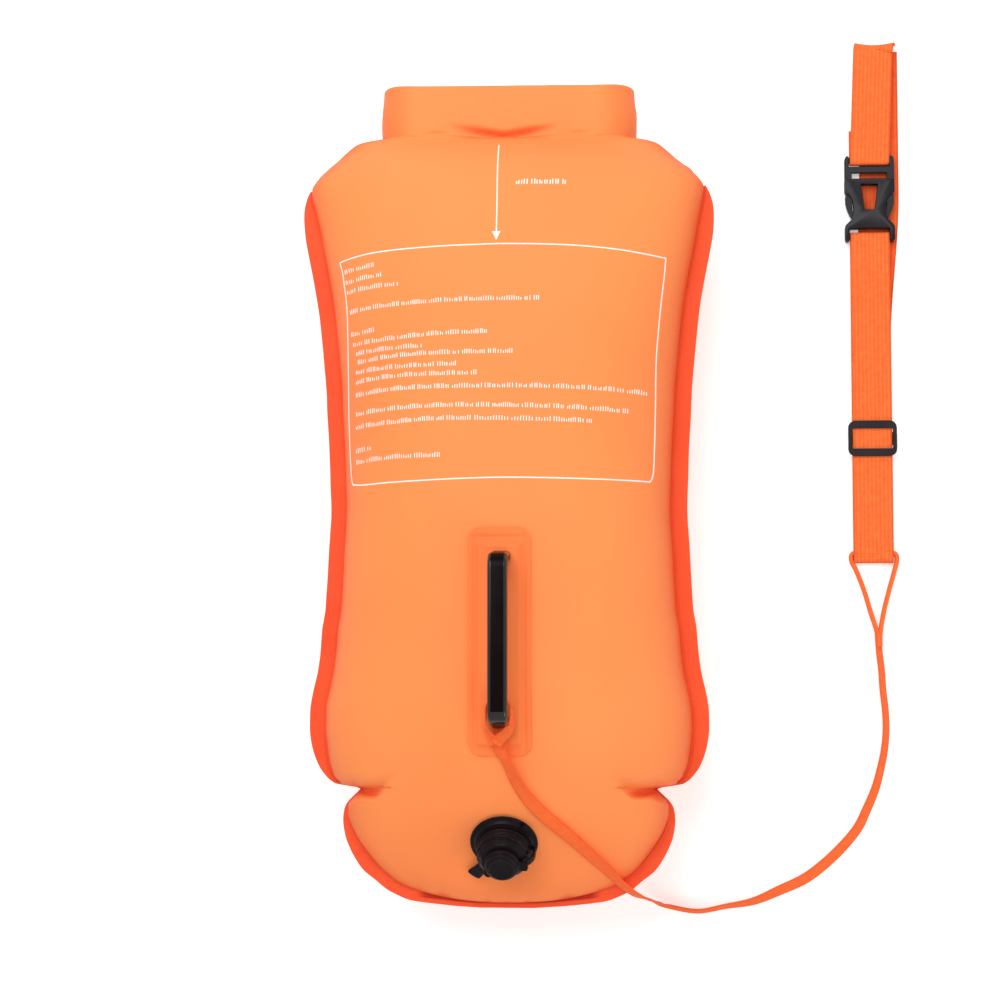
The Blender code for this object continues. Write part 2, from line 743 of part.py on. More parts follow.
def build_patch():
    """Welded patch with a raised middle that covers the handle's feet."""
    half = PATCH_WIDTH / 2
    flat = PLATEAU_WIDTH / 2
    columns = [-half, -flat - PLATEAU_SLOPE, -flat, 0.0, flat, flat + PLATEAU_SLOPE, half]
    end = PATCH_TOP_Y - PATCH_LENGTH
    high = PATCH_TOP_Y - PLATEAU_INSET
    low = end + PLATEAU_LOW_INSET
    levels = [end, low - PLATEAU_SLOPE] + skin_levels(low, high) + [high + PLATEAU_SLOPE, PATCH_TOP_Y]
    rows = []
    for y in levels:
        inside_y = low <= y <= high
        row = []
        for x in columns:
            raised = inside_y and abs(x) <= flat
            height = front_height(0.0, y) + FOOT_THICK + GAP if raised else front_height(x, y)
            row.append((x, y, height + GAP))
        rows.append(row)
    patch = add_part("handle_patch", grid_mesh(rows), FABRIC_LOOK)
    wall = patch.modifiers.new("wall", "SOLIDIFY")
    wall.thickness = PATCH_THICK
    wall.offset = 1.0
    middle = (PATCH_TOP_Y + end) / 2
    shape = plate_mesh([rounded_box(half, PATCH_LENGTH / 2, PATCH_CORNER)], BAG_WIDTH)
    trim = add_tool("patch_trim", shape, Matrix.Translation((0, middle, SEAM_Z)))
    combine(patch, trim, "INTERSECT")
    for name, centre in zip(("near_slot", "far_slot"), leg_centres()):
        reach = HANDLE_THICK / 2 + GAP * 2
        side = HANDLE_WIDTH / 2 + GAP
        low_corner = (-side, centre - reach, SEAM_Z)
        high_corner = (side, centre + reach, SEAM_Z + BAG_WIDTH)
        combine(patch, add_tool(name, box_mesh(low_corner, high_corner)), "DIFFERENCE")


# Inflation valves

def valve_place(side):
    """Frame of a valve: its axis square to the lower slope of the bag, front or back."""
    y = body_y(VALVE_SHARE)
    slope = (front_height(0.0, y + GAP) - front_height(0.0, y - GAP)) / (2 * GAP)
    rise = front_height(0.0, y) - SEAM_Z
    local = Matrix.Translation((0, y, rise)) @ Matrix.Rotation(math.atan(slope), 4, "X")
    turn = Matrix.Rotation(math.pi if side == "back" else 0.0, 4, "Y")
    return Matrix.Translation((0, 0, SEAM_Z)) @ turn @ local


def pivot(name, place, parts):
    """Empty on a joint's axis that carries the pieces which move on it."""
    empty = bpy.data.objects.new(name, None)
    PARTS.objects.link(empty)
    empty.matrix_world = place
    for part in parts:
        part.parent = empty
        part.matrix_parent_inverse = place.inverted()
    return empty


def build_valve(side):
    place = valve_place(side)
    flange_top = GAP + FLANGE_THICK
    step_top = flange_top + STEP_THICK
    base = [(NECK_RADIUS, NECK_HEIGHT), (NECK_RADIUS, step_top), (STEP_RADIUS, step_top)]
    base += [(STEP_RADIUS, flange_top), (FLANGE_RADIUS, flange_top), (FLANGE_RADIUS, GAP)]
    base += [(SKIRT_RADIUS, GAP), (SKIRT_RADIUS, -SKIRT_DEPTH), (BORE_RADIUS, -SKIRT_DEPTH)]
    base += [(BORE_RADIUS, SEAT_THICK - SKIRT_DEPTH), (SOCKET_RADIUS, SEAT_THICK - SKIRT_DEPTH)]
    base += [(SOCKET_RADIUS, NECK_HEIGHT)]
    spin(add_part(side + "_valve_base", turned_mesh(base, True), BLACK_LOOK, place))

    flap_top = -SKIRT_DEPTH - GAP
    flap = [(0.0, flap_top), (DIAPHRAGM_RADIUS, flap_top), (DIAPHRAGM_RADIUS, flap_top - DIAPHRAGM_THICK)]
    flap += [(0.0, flap_top - DIAPHRAGM_THICK)]
    spin(add_part(side + "_valve_diaphragm", turned_mesh(flap, False), BLACK_LOOK, place))

    ring_low = NECK_HEIGHT + GAP
    ring_top = ring_low + COLLAR_RING_HEIGHT
    spout_top = ring_top + SPOUT_HEIGHT
    stem_radius = SOCKET_RADIUS - GAP
    stem_low = SEAT_THICK - SKIRT_DEPTH + GAP
    stem = [(SPOUT_RADIUS, spout_top), (SPOUT_RADIUS, ring_top), (NECK_RADIUS - FLUTE_DEPTH, ring_top)]
    stem += [(NECK_RADIUS - FLUTE_DEPTH, ring_low), (stem_radius, ring_low), (stem_radius, stem_low)]
    stem += [(BORE_RADIUS, stem_low), (BORE_RADIUS, spout_top)]
    mouthpiece = spin(add_part(side + "_mouthpiece", turned_mesh(stem, True), BLACK_LOOK, place))
    flutes = []
    for index in range(FLUTE_COUNT * 4):
        angle = 2 * math.pi * index / (FLUTE_COUNT * 4)
        radius = NECK_RADIUS + FLUTE_DEPTH * math.cos(FLUTE_COUNT * angle)
        flutes.append((radius * math.cos(angle), radius * math.sin(angle)))
    bore = arc(0, 0, (SPOUT_RADIUS + BORE_RADIUS) / 2, 0, 360 - 360 / TURN_STEPS, TURN_STEPS - 1)
    middle = Matrix.Translation((0, 0, (ring_low + ring_top) / 2))
    grip = plate_mesh([flutes, bore], COLLAR_RING_HEIGHT - 2 * GAP)
    combine(mouthpiece, add_tool(side + "_flutes", grip, place @ middle), "UNION")

    skirt_low = ring_top + GAP
    roof_low = spout_top + GAP
    roof_top = roof_low + CAP_ROOF
    cap_shape = [(0.0, roof_top), (CAP_RADIUS - CAP_ROUND, roof_top), (CAP_RADIUS, roof_top - CAP_ROUND)]
    cap_shape += [(CAP_RADIUS, skirt_low), (SPOUT_RADIUS + GAP, skirt_low), (SPOUT_RADIUS + GAP, roof_low)]
    cap_shape += [(0.0, roof_low)]
    cap = spin(add_part(side + "_valve_cap", turned_mesh(cap_shape, False), BLACK_LOOK, place))
    wings = mirrored(arc(LUG_REACH - LUG_WIDTH / 2, 0, LUG_WIDTH / 2, -90, 90, ROUND_STEPS))
    hole = arc(0, 0, (CAP_RADIUS + SPOUT_RADIUS) / 2, 0, 360 - 360 / TURN_STEPS, TURN_STEPS - 1)
    lugs = plate_mesh([wings], LUG_THICK)
    lug_centre = Matrix.Translation((0, 0, skirt_low + GAP + LUG_THICK / 2))
    tool = add_tool(side + "_lugs", lugs, place @ lug_centre)
    keep = add_tool(side + "_lug_hole", plate_mesh([hole], 2 * LUG_THICK), place @ lug_centre)
    combine(tool, keep, "DIFFERENCE")
    combine(cap, tool, "UNION")
    build_tether(side, place, step_top + GAP, skirt_low + GAP, LUG_THICK)

    pivot(side + "_twist_axis", place, [mouthpiece])
    pivot(side + "_cap_axis", place, [cap])


def build_tether(side, place, level, lug_level, lug_height):
    """Soft ring round the neck with two tabs, and an arm that reaches up to the cap's lug."""
    inner = NECK_RADIUS + GAP
    outer = inner + TETHER_WIDTH
    ring = arc(0, 0, outer, 0, 360 - 360 / TURN_STEPS, TURN_STEPS - 1)
    hole = arc(0, 0, inner, 0, 360 - 360 / TURN_STEPS, TURN_STEPS - 1)
    height = Matrix.Translation((0, 0, level + TETHER_THICK / 2))
    mesh = plate_mesh([ring, hole], TETHER_THICK)
    tether = add_part(side + "_cap_tether", mesh, BLACK_LOOK, place @ height)
    tabs = ((PULL_TAB_ANGLE, PULL_TAB_REACH, "pull_tab"), (SIDE_TAB_ANGLE, SIDE_TAB_REACH, "side_tab"))
    for angle, reach, name in tabs:
        half = TETHER_TAB_WIDTH / 2
        start = (inner + outer) / 2
        tab = [(start, -half), (reach, -half), (reach, half), (start, half)]
        shape = plate_mesh([tab], TETHER_THICK - GAP)
        turn = Matrix.Rotation(math.radians(angle), 4, "Z")
        combine(tether, add_tool(side + "_" + name, shape, place @ height @ turn), "UNION")
    clear = NECK_RADIUS + FLUTE_DEPTH + 2 * GAP
    top = lug_level + lug_height
    arm = [(clear, level + GAP), (outer - GAP, level + GAP), (outer - GAP, top), (LUG_REACH + GAP, top)]
    arm += [(LUG_REACH + GAP, lug_level), (clear, lug_level)]
    shape = plate_mesh([arm], TETHER_ARM_WIDTH)
    stand = Matrix.Rotation(math.radians(90), 4, "X")
    combine(tether, add_tool(side + "_arm", shape, place @ stand), "UNION")


# Side-release buckles: drawn with the plug at +Y and the outer face at +Z

def stadium(width, thickness):
    """Outline of a bar with round edges, drawn in Y and Z."""
    shift = width / 2 - thickness / 2
    radius = thickness / 2
    return arc(shift, 0, radius, -90, 90, ROUND_STEPS) + arc(-shift, 0, radius, 90, 270, ROUND_STEPS)


def webbing_bar(name, y, width, thickness, place):
    """Round-edged bar that webbing turns round, between two rails."""
    reach = 2 * (WEB_SLOT_HALF + GAP)
    bar = plate_mesh([stadium(width, thickness)], reach)
    drop = Matrix.Translation((0, y, -BAR_DROP))
    return add_tool(name, bar, place @ drop @ sideways())


def bar_y():
    return BUCKLE_LENGTH / 2 - BAR_INSET - BAR_WIDTH / 2


def build_socket(name, place):
    half = BUCKLE_WIDTH / 2
    mouth = MOUTH_Y - GAP
    band_low = mouth - MOUTH_BAND
    tail_top = -bar_y() + BAR_WIDTH / 2 + BAR_SLOT
    end = -BUCKLE_LENGTH / 2
    outline = [(half, mouth), (half, band_low)]
    outline += [(half * across, band_low - WINDOW_LENGTH * down) for across, down in WINDOW_SHARES]
    outline += [(half, end + BAR_INSET), (half - BAR_INSET, end), (WEB_SLOT_HALF + BAR_INSET / 2, end)]
    outline += [(WEB_SLOT_HALF, end + BAR_INSET), (WEB_SLOT_HALF, tail_top)]
    keyhole_top = mouth - KEYHOLE_RIM
    keyhole_low = keyhole_top - KEYHOLE_LENGTH
    wide = KEYHOLE_WIDTH / 2
    narrow = wide * KEYHOLE_TAPER_SHARE
    keyhole = [(wide, keyhole_top), (narrow, keyhole_low), (-narrow, keyhole_low), (-wide, keyhole_top)]
    mesh = plate_mesh([mirrored(outline), keyhole], BUCKLE_THICK, BUCKLE_EDGE, 1)
    socket = add_part(name + "_buckle_socket", mesh, BUCKLE_LOOK, place)
    hollow = INSERT_THICK / 2 + GAP
    low = (-CAVITY_WIDTH / 2, band_low - WINDOW_LENGTH, -hollow)
    high = (CAVITY_WIDTH / 2, mouth + OVERRUN, hollow)
    combine(socket, add_tool(name + "_cavity", box_mesh(low, high), place), "DIFFERENCE")
    combine(socket, webbing_bar(name + "_socket_bar", -bar_y(), BAR_WIDTH, BAR_THICK, place), "UNION")


def build_plug(name, place):
    half = BUCKLE_WIDTH / 2
    end = BUCKLE_LENGTH / 2
    ladder_top = bar_y() - BAR_WIDTH / 2 - BAR_SLOT
    ladder_low = ladder_top - LADDER_BAR
    slot_low = ladder_low - LADDER_SLOT
    inner = CAVITY_WIDTH / 2 - GAP
    outline = [(inner, slot_low - CROSSBAR_WIDTH), (inner, MOUTH_Y + GAP), (half, MOUTH_Y)]
    outline += [(half, bar_y()), (half - BAR_INSET / 2, end - BAR_INSET)]
    outline += [(WEB_SLOT_HALF + BAR_INSET, end), (WEB_SLOT_HALF, end - BAR_INSET)]
    outline += [(WEB_SLOT_HALF, ladder_top)]
    reach = inner - BAR_INSET
    ladder = [(reach, ladder_low), (-reach, ladder_low), (-reach, slot_low), (reach, slot_low)]
    mesh = plate_mesh([mirrored(outline), ladder], INSERT_THICK, BUCKLE_EDGE / 2, 1)
    plug = add_part(name + "_buckle_plug", mesh, BUCKLE_LOOK, place)
    combine(plug, webbing_bar(name + "_plug_bar", bar_y(), BAR_WIDTH, BAR_THICK, place), "UNION")
    root_y = slot_low - CROSSBAR_WIDTH - GAP
    prongs = [build_prong(name, "left", -1, root_y, place), build_prong(name, "right", 1, root_y, place)]
    pivot(name + "_release_axis", place, [plug])
    for prong, side in zip(prongs, (-1, 1)):
        shift = Matrix.Translation((side * PRONG_ROOT_SHARE * half, root_y, 0))
        pivot(prong.name + "_axis", place @ shift, [prong])


def build_prong(name, label, side, root_y, place):
    half = BUCKLE_WIDTH / 2
    top = MOUTH_Y - GAP - MOUTH_BAND
    root = PRONG_ROOT_SHARE * half
    outline = [(root - PRONG_ROOT_WIDTH / 2, root_y), (root + PRONG_ROOT_WIDTH / 2, root_y)]
    outline += [(PRONG_NECK_SHARE * half, top)]
    outline += [(half * across, top - WINDOW_LENGTH * down) for across, down in PRONG_OUTER_SHARES]
    outline += [(half * across, top - WINDOW_LENGTH * down) for across, down in PRONG_INNER_SHARES]
    outline = [(side * x, y) for x, y in outline]
    mesh = plate_mesh([outline], INSERT_THICK)
    return add_part(name + "_prong_" + label, mesh, BUCKLE_LOOK, place)


# Top tabs and buckle behind the roll

def top_buckle_place():
    """The plug points to +X and the outer face looks at the ground."""
    turn = Matrix(((0, 1, 0, 0), (1, 0, 0, 0), (0, 0, -1, 0), (0, 0, 0, 1)))
    level = SEAM_Z - 2 * BEND_RADIUS - BAR_DROP
    middle = COLLAR_BOTTOM + COLLAR_HEIGHT / 2
    return Matrix.Translation((-TOP_BUCKLE_SHIFT, middle, level)) @ turn


def build_tab(name, side):
    """Webbing tab: sewn into the end of the roll and looped round the buckle's bar."""
    level = SEAM_Z - 2 * BEND_RADIUS
    middle = COLLAR_BOTTOM + COLLAR_HEIGHT / 2
    straight = COLLAR_WIDTH / 2 - ROLL_THICK / 2 - BEND_RADIUS
    inside = GAP + BAR_THICK / 2
    outside = inside + TAB_THICK
    bar = -TOP_BUCKLE_SHIFT + side * bar_y()
    shift = BAR_WIDTH / 2 - BAR_THICK / 2
    near = bar - side * shift
    far = bar + side * shift
    turn = 0 if side > 0 else 180
    loop = arc(near, level, outside, turn + 90, turn + 270, FOLD_STEPS)
    hole = arc(near, level, inside, turn + 90, turn + 270, FOLD_STEPS)
    hole += arc(far, level, inside, turn - 90, turn + 90, FOLD_STEPS)
    stem = TAB_THICK * side
    root = side * (straight + TAB_ROOT)
    throat = far + side * outside * 2
    tail = [(far, level - stem - side * inside), (throat, level - stem), (root, level - stem)]
    tail += [(root, level + stem), (throat, level + stem), (far, level + stem + side * inside)]
    mesh = plate_mesh([loop + tail, hole], WEB_WIDTH)
    add_part(name, mesh, WEBBING_LOOK, upright(middle))


# Waist belt

def add_layer(name, line):
    """Belt webbing along a line of y and z."""
    place = Matrix.Translation((BELT_X, 0, 0)) @ sideways()
    add_part(name, plate_mesh([ribbon_outline(line, WEB_THICK)], WEB_WIDTH), WEBBING_LOOK, place)


def build_belt_back():
    """Layer that lies on the ground, drifting sideways behind the buckle."""
    fold = (BELT_FRONT_Z - BELT_BACK_Z) / 2 + WEB_THICK / 2
    low = BELT_BOTTOM_Y + fold + GAP
    high = BELT_TOP_Y - fold - GAP
    half = WEB_WIDTH / 2
    right = [(half, low), (half, SKEW_START_Y), (half + BELT_SKEW, SKEW_END_Y), (half + BELT_SKEW, high)]
    left = [(BELT_SKEW - half, high), (BELT_SKEW - half, SKEW_END_Y), (-half, SKEW_START_Y), (-half, low)]
    mesh = plate_mesh([right + left], WEB_THICK)
    add_part("belt_back_layer", mesh, WEBBING_LOOK, Matrix.Translation((BELT_X, 0, BELT_BACK_Z)))


def build_belt_front():
    """Bottom fold, the layer through the slider, and the turn round the socket's bar."""
    radius = (BELT_FRONT_Z - BELT_BACK_Z) / 2
    fold_y = BELT_BOTTOM_Y + radius + WEB_THICK / 2
    middle = (BELT_FRONT_Z + BELT_BACK_Z) / 2
    line = arc(fold_y, middle, radius, 270, 90, FOLD_STEPS)
    turn_y = BELT_BUCKLE_Y - bar_y() + BAR_WIDTH / 2 - BAR_THICK / 2
    line += arc(turn_y, BELT_BAR_Z, BELT_FRONT_Z - BELT_BAR_Z, 90, -90, FOLD_STEPS)
    line.append((turn_y - RETURN_JOINT, BELT_RETURN_Z))
    add_layer("belt_front_layer", line)


def build_belt_return():
    """Layer that runs back under the front layer and is sewn round the slider's centre bar."""
    turn_y = BELT_BUCKLE_Y - bar_y() + BAR_WIDTH / 2 - BAR_THICK / 2
    level = slider_bar_level()
    slider_y = SLIDER_Y - SLIDER_CENTRE_BAR / 2 + SLIDER_CENTRE_THICK / 2
    line = [(turn_y - RETURN_JOINT - GAP, BELT_RETURN_Z)]
    line += arc(slider_y, level, level - BELT_RETURN_Z, 270, 90, FOLD_STEPS)
    line.append((slider_y + SEWN_TAIL, 2 * level - BELT_RETURN_Z))
    add_layer("belt_return_layer", line)


def build_belt_upper():
    """Top fold and the layer down to the plug, sewn round its outer bar."""
    radius = (BELT_FRONT_Z - BELT_BACK_Z) / 2
    fold_y = BELT_TOP_Y - radius - WEB_THICK / 2
    middle = (BELT_FRONT_Z + BELT_BACK_Z) / 2
    turn_y = BELT_BUCKLE_Y + bar_y() - BAR_WIDTH / 2 + BAR_THICK / 2
    line = arc(fold_y, middle, radius, -90, 90, FOLD_STEPS)
    line += arc(turn_y, BELT_BAR_Z, BELT_FRONT_Z - BELT_BAR_Z, 90, 270, FOLD_STEPS)
    line.append((turn_y + PLUG_TAIL, BELT_RETURN_Z))
    add_layer("belt_upper_layer", line)


def slider_bar_level():
    return BELT_RETURN_Z + WEB_THICK / 2 + GAP + SLIDER_CENTRE_THICK / 2


def build_slider():
    """Three-bar slider: two end bars over the webbing and a lowered centre bar under it."""
    low = slider_bar_level() - SLIDER_CENTRE_THICK / 2
    frame_low = BELT_FRONT_Z + WEB_THICK / 2 + GAP
    half = SLIDER_WIDTH / 2
    opening = rounded_box(WEB_SLOT_HALF, SLIDER_LENGTH / 2 - SLIDER_BAR, SLIDER_THICK / 2)
    rim = rounded_box(half, SLIDER_LENGTH / 2, SLIDER_CORNER)
    mesh = plate_mesh([rim, opening], SLIDER_THICK, SLIDER_THICK / 4, 1)
    frame_place = Matrix.Translation((BELT_X, SLIDER_Y, frame_low + SLIDER_THICK / 2))
    slider = add_part("belt_slider", mesh, BUCKLE_LOOK, frame_place)
    for name, side in (("left_post", -1), ("right_post", 1)):
        inner = side * WEB_SLOT_HALF
        outer = side * (half - SLIDER_THICK / 4)
        corner_low = (min(inner, outer), -SLIDER_POST / 2, low)
        corner_high = (max(inner, outer), SLIDER_POST / 2, frame_low + SLIDER_THICK / 2)
        post = add_tool(name, box_mesh(corner_low, corner_high), Matrix.Translation((BELT_X, SLIDER_Y, 0)))
        combine(slider, post, "UNION")
    bar = plate_mesh([stadium(SLIDER_CENTRE_BAR, SLIDER_CENTRE_THICK)], 2 * (WEB_SLOT_HALF + GAP))
    bar_place = Matrix.Translation((BELT_X, SLIDER_Y, slider_bar_level())) @ sideways()
    combine(slider, add_tool("centre_bar", bar, bar_place), "UNION")
    pivot("slider_axis", Matrix.Translation((BELT_X, SLIDER_Y, slider_bar_level())), [slider])


# Leash

def build_hitch():
    """Leash webbing wrapped round the lower leg of the handle."""
    centre = leg_centres()[1]
    lean = HANDLE_SPLAY / 2
    reach_x = HANDLE_WIDTH / 2 + GAP
    reach_y = HANDLE_THICK / 2 + lean + GAP
    crown = front_height(0.0, centre + reach_y + HITCH_THICK)
    level = crown + FOOT_THICK + 4 * GAP + PATCH_THICK + HITCH_HEIGHT / 2
    hole = rounded_box(reach_x, reach_y, HANDLE_EDGE / 2)
    rim = rounded_box(reach_x + HITCH_THICK, reach_y + HITCH_THICK, HITCH_THICK)
    mesh = plate_mesh([rim, hole], HITCH_HEIGHT)
    add_part("leash_hitch", mesh, WEBBING_LOOK, Matrix.Translation((0, centre + lean / 2, level)))


def build_leash():
    strap = strap_mesh(LEASH_ROUTE, LEASH_WIDTH, LEASH_THICK, LEASH_POINTS)
    add_part("leash_strap", strap, WEBBING_LOOK)
    loop = strap_mesh(LOOP_ROUTE, LOOP_WIDTH, LOOP_THICK, LOOP_POINTS)
    add_part("leash_end_loop", loop, WEBBING_LOOK)


clear_scene()
PARTS = new_collection("swim_buoy")
TOOLS = new_collection("swim_buoy_cutters")
build_chambers()
build_seam_band()
build_dry_pouch()
build_roll()
build_handle()
build_patch()
build_valve("front")
build_valve("back")
build_tab("top_tab_left", -1)
build_tab("top_tab_right", 1)
build_socket("top", top_buckle_place())
build_plug("top", top_buckle_place())
build_belt_back()
build_belt_front()
build_belt_return()
build_belt_upper()
BELT_BUCKLE_PLACE = Matrix.Translation((BELT_X, BELT_BUCKLE_Y, BELT_BUCKLE_Z))
build_socket("belt", BELT_BUCKLE_PLACE)
build_plug("belt", BELT_BUCKLE_PLACE)
build_slider()
build_hitch()
build_leash()
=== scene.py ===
"""Looks of the open water swim buoy: fabrics, webbing, mouldings, floor, light and camera."""
import math

import bmesh
import bpy
from mathutils import Matrix, Vector, noise


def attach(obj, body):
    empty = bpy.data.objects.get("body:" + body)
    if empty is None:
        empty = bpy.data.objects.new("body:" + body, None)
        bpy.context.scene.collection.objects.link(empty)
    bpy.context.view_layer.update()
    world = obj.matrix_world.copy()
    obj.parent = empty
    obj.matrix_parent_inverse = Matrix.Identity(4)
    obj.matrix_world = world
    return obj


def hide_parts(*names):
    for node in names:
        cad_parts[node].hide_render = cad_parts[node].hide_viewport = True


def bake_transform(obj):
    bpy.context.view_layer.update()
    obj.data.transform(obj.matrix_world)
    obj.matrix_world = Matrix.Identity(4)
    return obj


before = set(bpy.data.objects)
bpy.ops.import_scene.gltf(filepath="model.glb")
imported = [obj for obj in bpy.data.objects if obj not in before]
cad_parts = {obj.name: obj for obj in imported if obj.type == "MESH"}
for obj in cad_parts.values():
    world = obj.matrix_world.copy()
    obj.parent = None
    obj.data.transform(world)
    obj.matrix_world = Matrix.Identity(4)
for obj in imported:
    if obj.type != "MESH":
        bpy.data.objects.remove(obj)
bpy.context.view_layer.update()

# Floor, light and camera. A white sheet lies under the buoy, a large soft box hangs over its
# top left, and the camera looks almost straight down at the printed front.

bpy.ops.object.select_all(action="DESELECT")
lens = bpy.data.cameras.new("camera")
lens.lens = 94.74
lens.sensor_width = 36.0
lens.clip_end = 20.0
camera = bpy.data.objects.new("camera", lens)
bpy.context.scene.collection.objects.link(camera)
camera_target = Vector((-0.0060, -0.0027, 0.090))
camera_distance = 2.0
lean_right, lean_down = math.radians(4.5), math.radians(5.0)
camera_back = Vector((math.tan(lean_right), -math.tan(lean_down), 1.0)).normalized()
camera_right = (-camera_back).cross(Vector((0, 1, 0))).normalized()
camera_up = camera_right.cross(-camera_back)
turn = Matrix((camera_right, camera_up, camera_back)).transposed()
camera_place = camera_target + camera_distance * camera_back
camera.matrix_world = Matrix.Translation(camera_place) @ turn.to_4x4()
bpy.context.scene.camera = camera
bpy.context.scene.view_settings.view_transform = "Standard"


def soft_box(name, place, target, size, power, colour):
    """Square soft box at a place, turned towards a target."""
    lamp = bpy.data.lights.new(name, "AREA")
    lamp.shape = "SQUARE"
    lamp.size = size
    lamp.energy = power
    lamp.color = colour
    holder = bpy.data.objects.new(name, lamp)
    bpy.context.scene.collection.objects.link(holder)
    away = (Vector(place) - Vector(target)).to_track_quat("Z", "Y")
    holder.matrix_world = Matrix.Translation(place) @ away.to_matrix().to_4x4()


soft_box("overhead_box", (-0.35, 0.95, 2.0), (0.0, 0.1, 0.1), 1.5, 28.0, (1.0, 0.985, 0.97))
soft_box("side_box", (1.3, -1.5, 1.4), (0.0, 0.0, 0.1), 1.2, 9.0, (1.0, 0.98, 0.98))

world = bpy.data.worlds.new("studio")
world.use_nodes = True
world.node_tree.nodes["Background"].inputs["Color"].default_value = (1.0, 1.0, 1.0, 1.0)
world.node_tree.nodes["Background"].inputs["Strength"].default_value = 0.66
bpy.context.scene.world = world


def start_finish(name, roughness, specular):
    """New material, its node tree and its shader."""
    finish = bpy.data.materials.new(name)
    finish.use_nodes = True
    shader = finish.node_tree.nodes["Principled BSDF"]
    shader.inputs["Roughness"].default_value = roughness
    shader.inputs["Specular IOR Level"].default_value = specular
    return finish, finish.node_tree, shader


def maths(tree, operation, *values):
    """Result of a maths node on sockets and plain numbers."""
    new = tree.nodes.new("ShaderNodeMath")
    new.operation = operation
    for value, socket in zip(values, new.inputs):
        if isinstance(value, (int, float)):
            socket.default_value = value
        else:
            tree.links.new(value, socket)
    return new.outputs[0]


bpy.ops.mesh.primitive_plane_add(size=8.0, location=(0, 0, 0))
floor = bpy.context.object
floor.name = "floor"
paper, tree, shader = start_finish("floor_paper", 0.9, 0.1)
shader.inputs["Base Color"].default_value = (0.96, 0.96, 0.96, 1.0)
shader.inputs["Emission Color"].default_value = (1.0, 1.0, 1.0, 1.0)
seen = tree.nodes.new("ShaderNodeLightPath").outputs["Is Camera Ray"]
white_lift = 0.36
tree.links.new(maths(tree, "MULTIPLY", seen, white_lift), shader.inputs["Emission Strength"])
floor.data.materials.append(paper)


# Leash: 10 mm orange polyester webbing, woven with a soft rib, hitched round the handle's lower
# leg, lying over the bag and down to the ground. It ends in a narrow folded loop round the belt.

def mixed(tree, *parts):
    """Sum of values, each times its weight."""
    total = maths(tree, "MULTIPLY", *parts[0])
    for part in parts[1:]:
        total = maths(tree, "ADD", total, maths(tree, "MULTIPLY", *part))
    return total


def two_tones(tree, share, dark, light):
    """Colour between two others, which may be sockets, by a share."""
    mix = tree.nodes.new("ShaderNodeMix")
    mix.data_type = "RGBA"
    tree.links.new(share, mix.inputs["Factor"])
    for tone, socket in ((dark, mix.inputs["A"]), (light, mix.inputs["B"])):
        if isinstance(tone, tuple):
            socket.default_value = (*tone, 1.0)
        else:
            tree.links.new(tone, socket)
    return mix.outputs["Result"]


def speckle(tree, scale, detail):
    """Noise on the piece's own coordinates."""
    texture = tree.nodes.new("ShaderNodeTexNoise")
    texture.inputs["Scale"].default_value = scale
    texture.inputs["Detail"].default_value = detail
    place = tree.nodes.new("ShaderNodeTexCoord")
    tree.links.new(place.outputs["Object"], texture.inputs["Vector"])
    return texture.outputs["Fac"]


def set_surface(tree, shader, colour, height, strength, depth, rough):
    """Give a shader its colour, its bump and its uneven roughness."""
    bump = tree.nodes.new("ShaderNodeBump")
    bump.inputs["Strength"].default_value = strength
    bump.inputs["Distance"].default_value = depth
    tree.links.new(height, bump.inputs["Height"])
    tree.links.new(bump.outputs["Normal"], shader.inputs["Normal"])
    tree.links.new(colour, shader.inputs["Base Color"])
    tree.links.new(rough, shader.inputs["Roughness"])


def webbing_finish(name, dark, light, rib, width):
    """Woven webbing: ribs along its length, fine picks across it and firmer edges."""
    finish, tree, shader = start_finish(name, 0.78, 0.12)
    shader.inputs["Sheen Weight"].default_value = 0.03
    shader.inputs["Sheen Roughness"].default_value = 0.5
    place = tree.nodes.new("ShaderNodeUVMap")
    place.uv_map = "weave"
    parts = tree.nodes.new("ShaderNodeSeparateXYZ")
    tree.links.new(place.outputs[0], parts.inputs[0])
    along, across = parts.outputs["X"], parts.outputs["Y"]
    pick_step, edge_width = 0.0021, 0.0013
    ribs = maths(tree, "SINE", maths(tree, "MULTIPLY", across, 2 * math.pi / rib))
    picks = maths(tree, "SINE", mixed(tree, (along, 2 * math.pi / pick_step), (ribs, 1.6)))
    edge = maths(tree, "GREATER_THAN", maths(tree, "ABSOLUTE", across), width / 2 - edge_width)
    mottle = speckle(tree, 260.0, 3.0)
    weave = mixed(tree, (ribs, 0.30), (picks, 0.20))
    share = mixed(tree, (weave, 0.55), (mottle, 0.9), (edge, -0.35))
    height = mixed(tree, (weave, 1.0), (mottle, 0.35))
    rough = mixed(tree, (mottle, 0.25), (0.62, 1.0))
    set_surface(tree, shader, two_tones(tree, share, dark, light), height, 0.45, 0.0003, rough)
    return finish


def pick(piece):
    """Make a piece the only one that is selected and active."""
    bpy.ops.object.select_all(action="DESELECT")
    piece.select_set(True)
    bpy.context.view_layer.objects.active = piece


def new_piece(name, points, faces, finish):
    """Piece made of points and faces, picked."""
    mesh = bpy.data.meshes.new(name)
    mesh.from_pydata(points, [], faces)
    mesh.materials.append(finish)
    piece = bpy.data.objects.new(name, mesh)
    bpy.context.scene.collection.objects.link(piece)
    pick(piece)
    return piece


def face_outwards():
    """Turn the faces of the active piece outwards."""
    bpy.ops.object.mode_set(mode="EDIT")
    bpy.ops.mesh.select_all(action="SELECT")
    bpy.ops.mesh.normals_make_consistent(inside=False)
    bpy.ops.object.mode_set(mode="OBJECT")


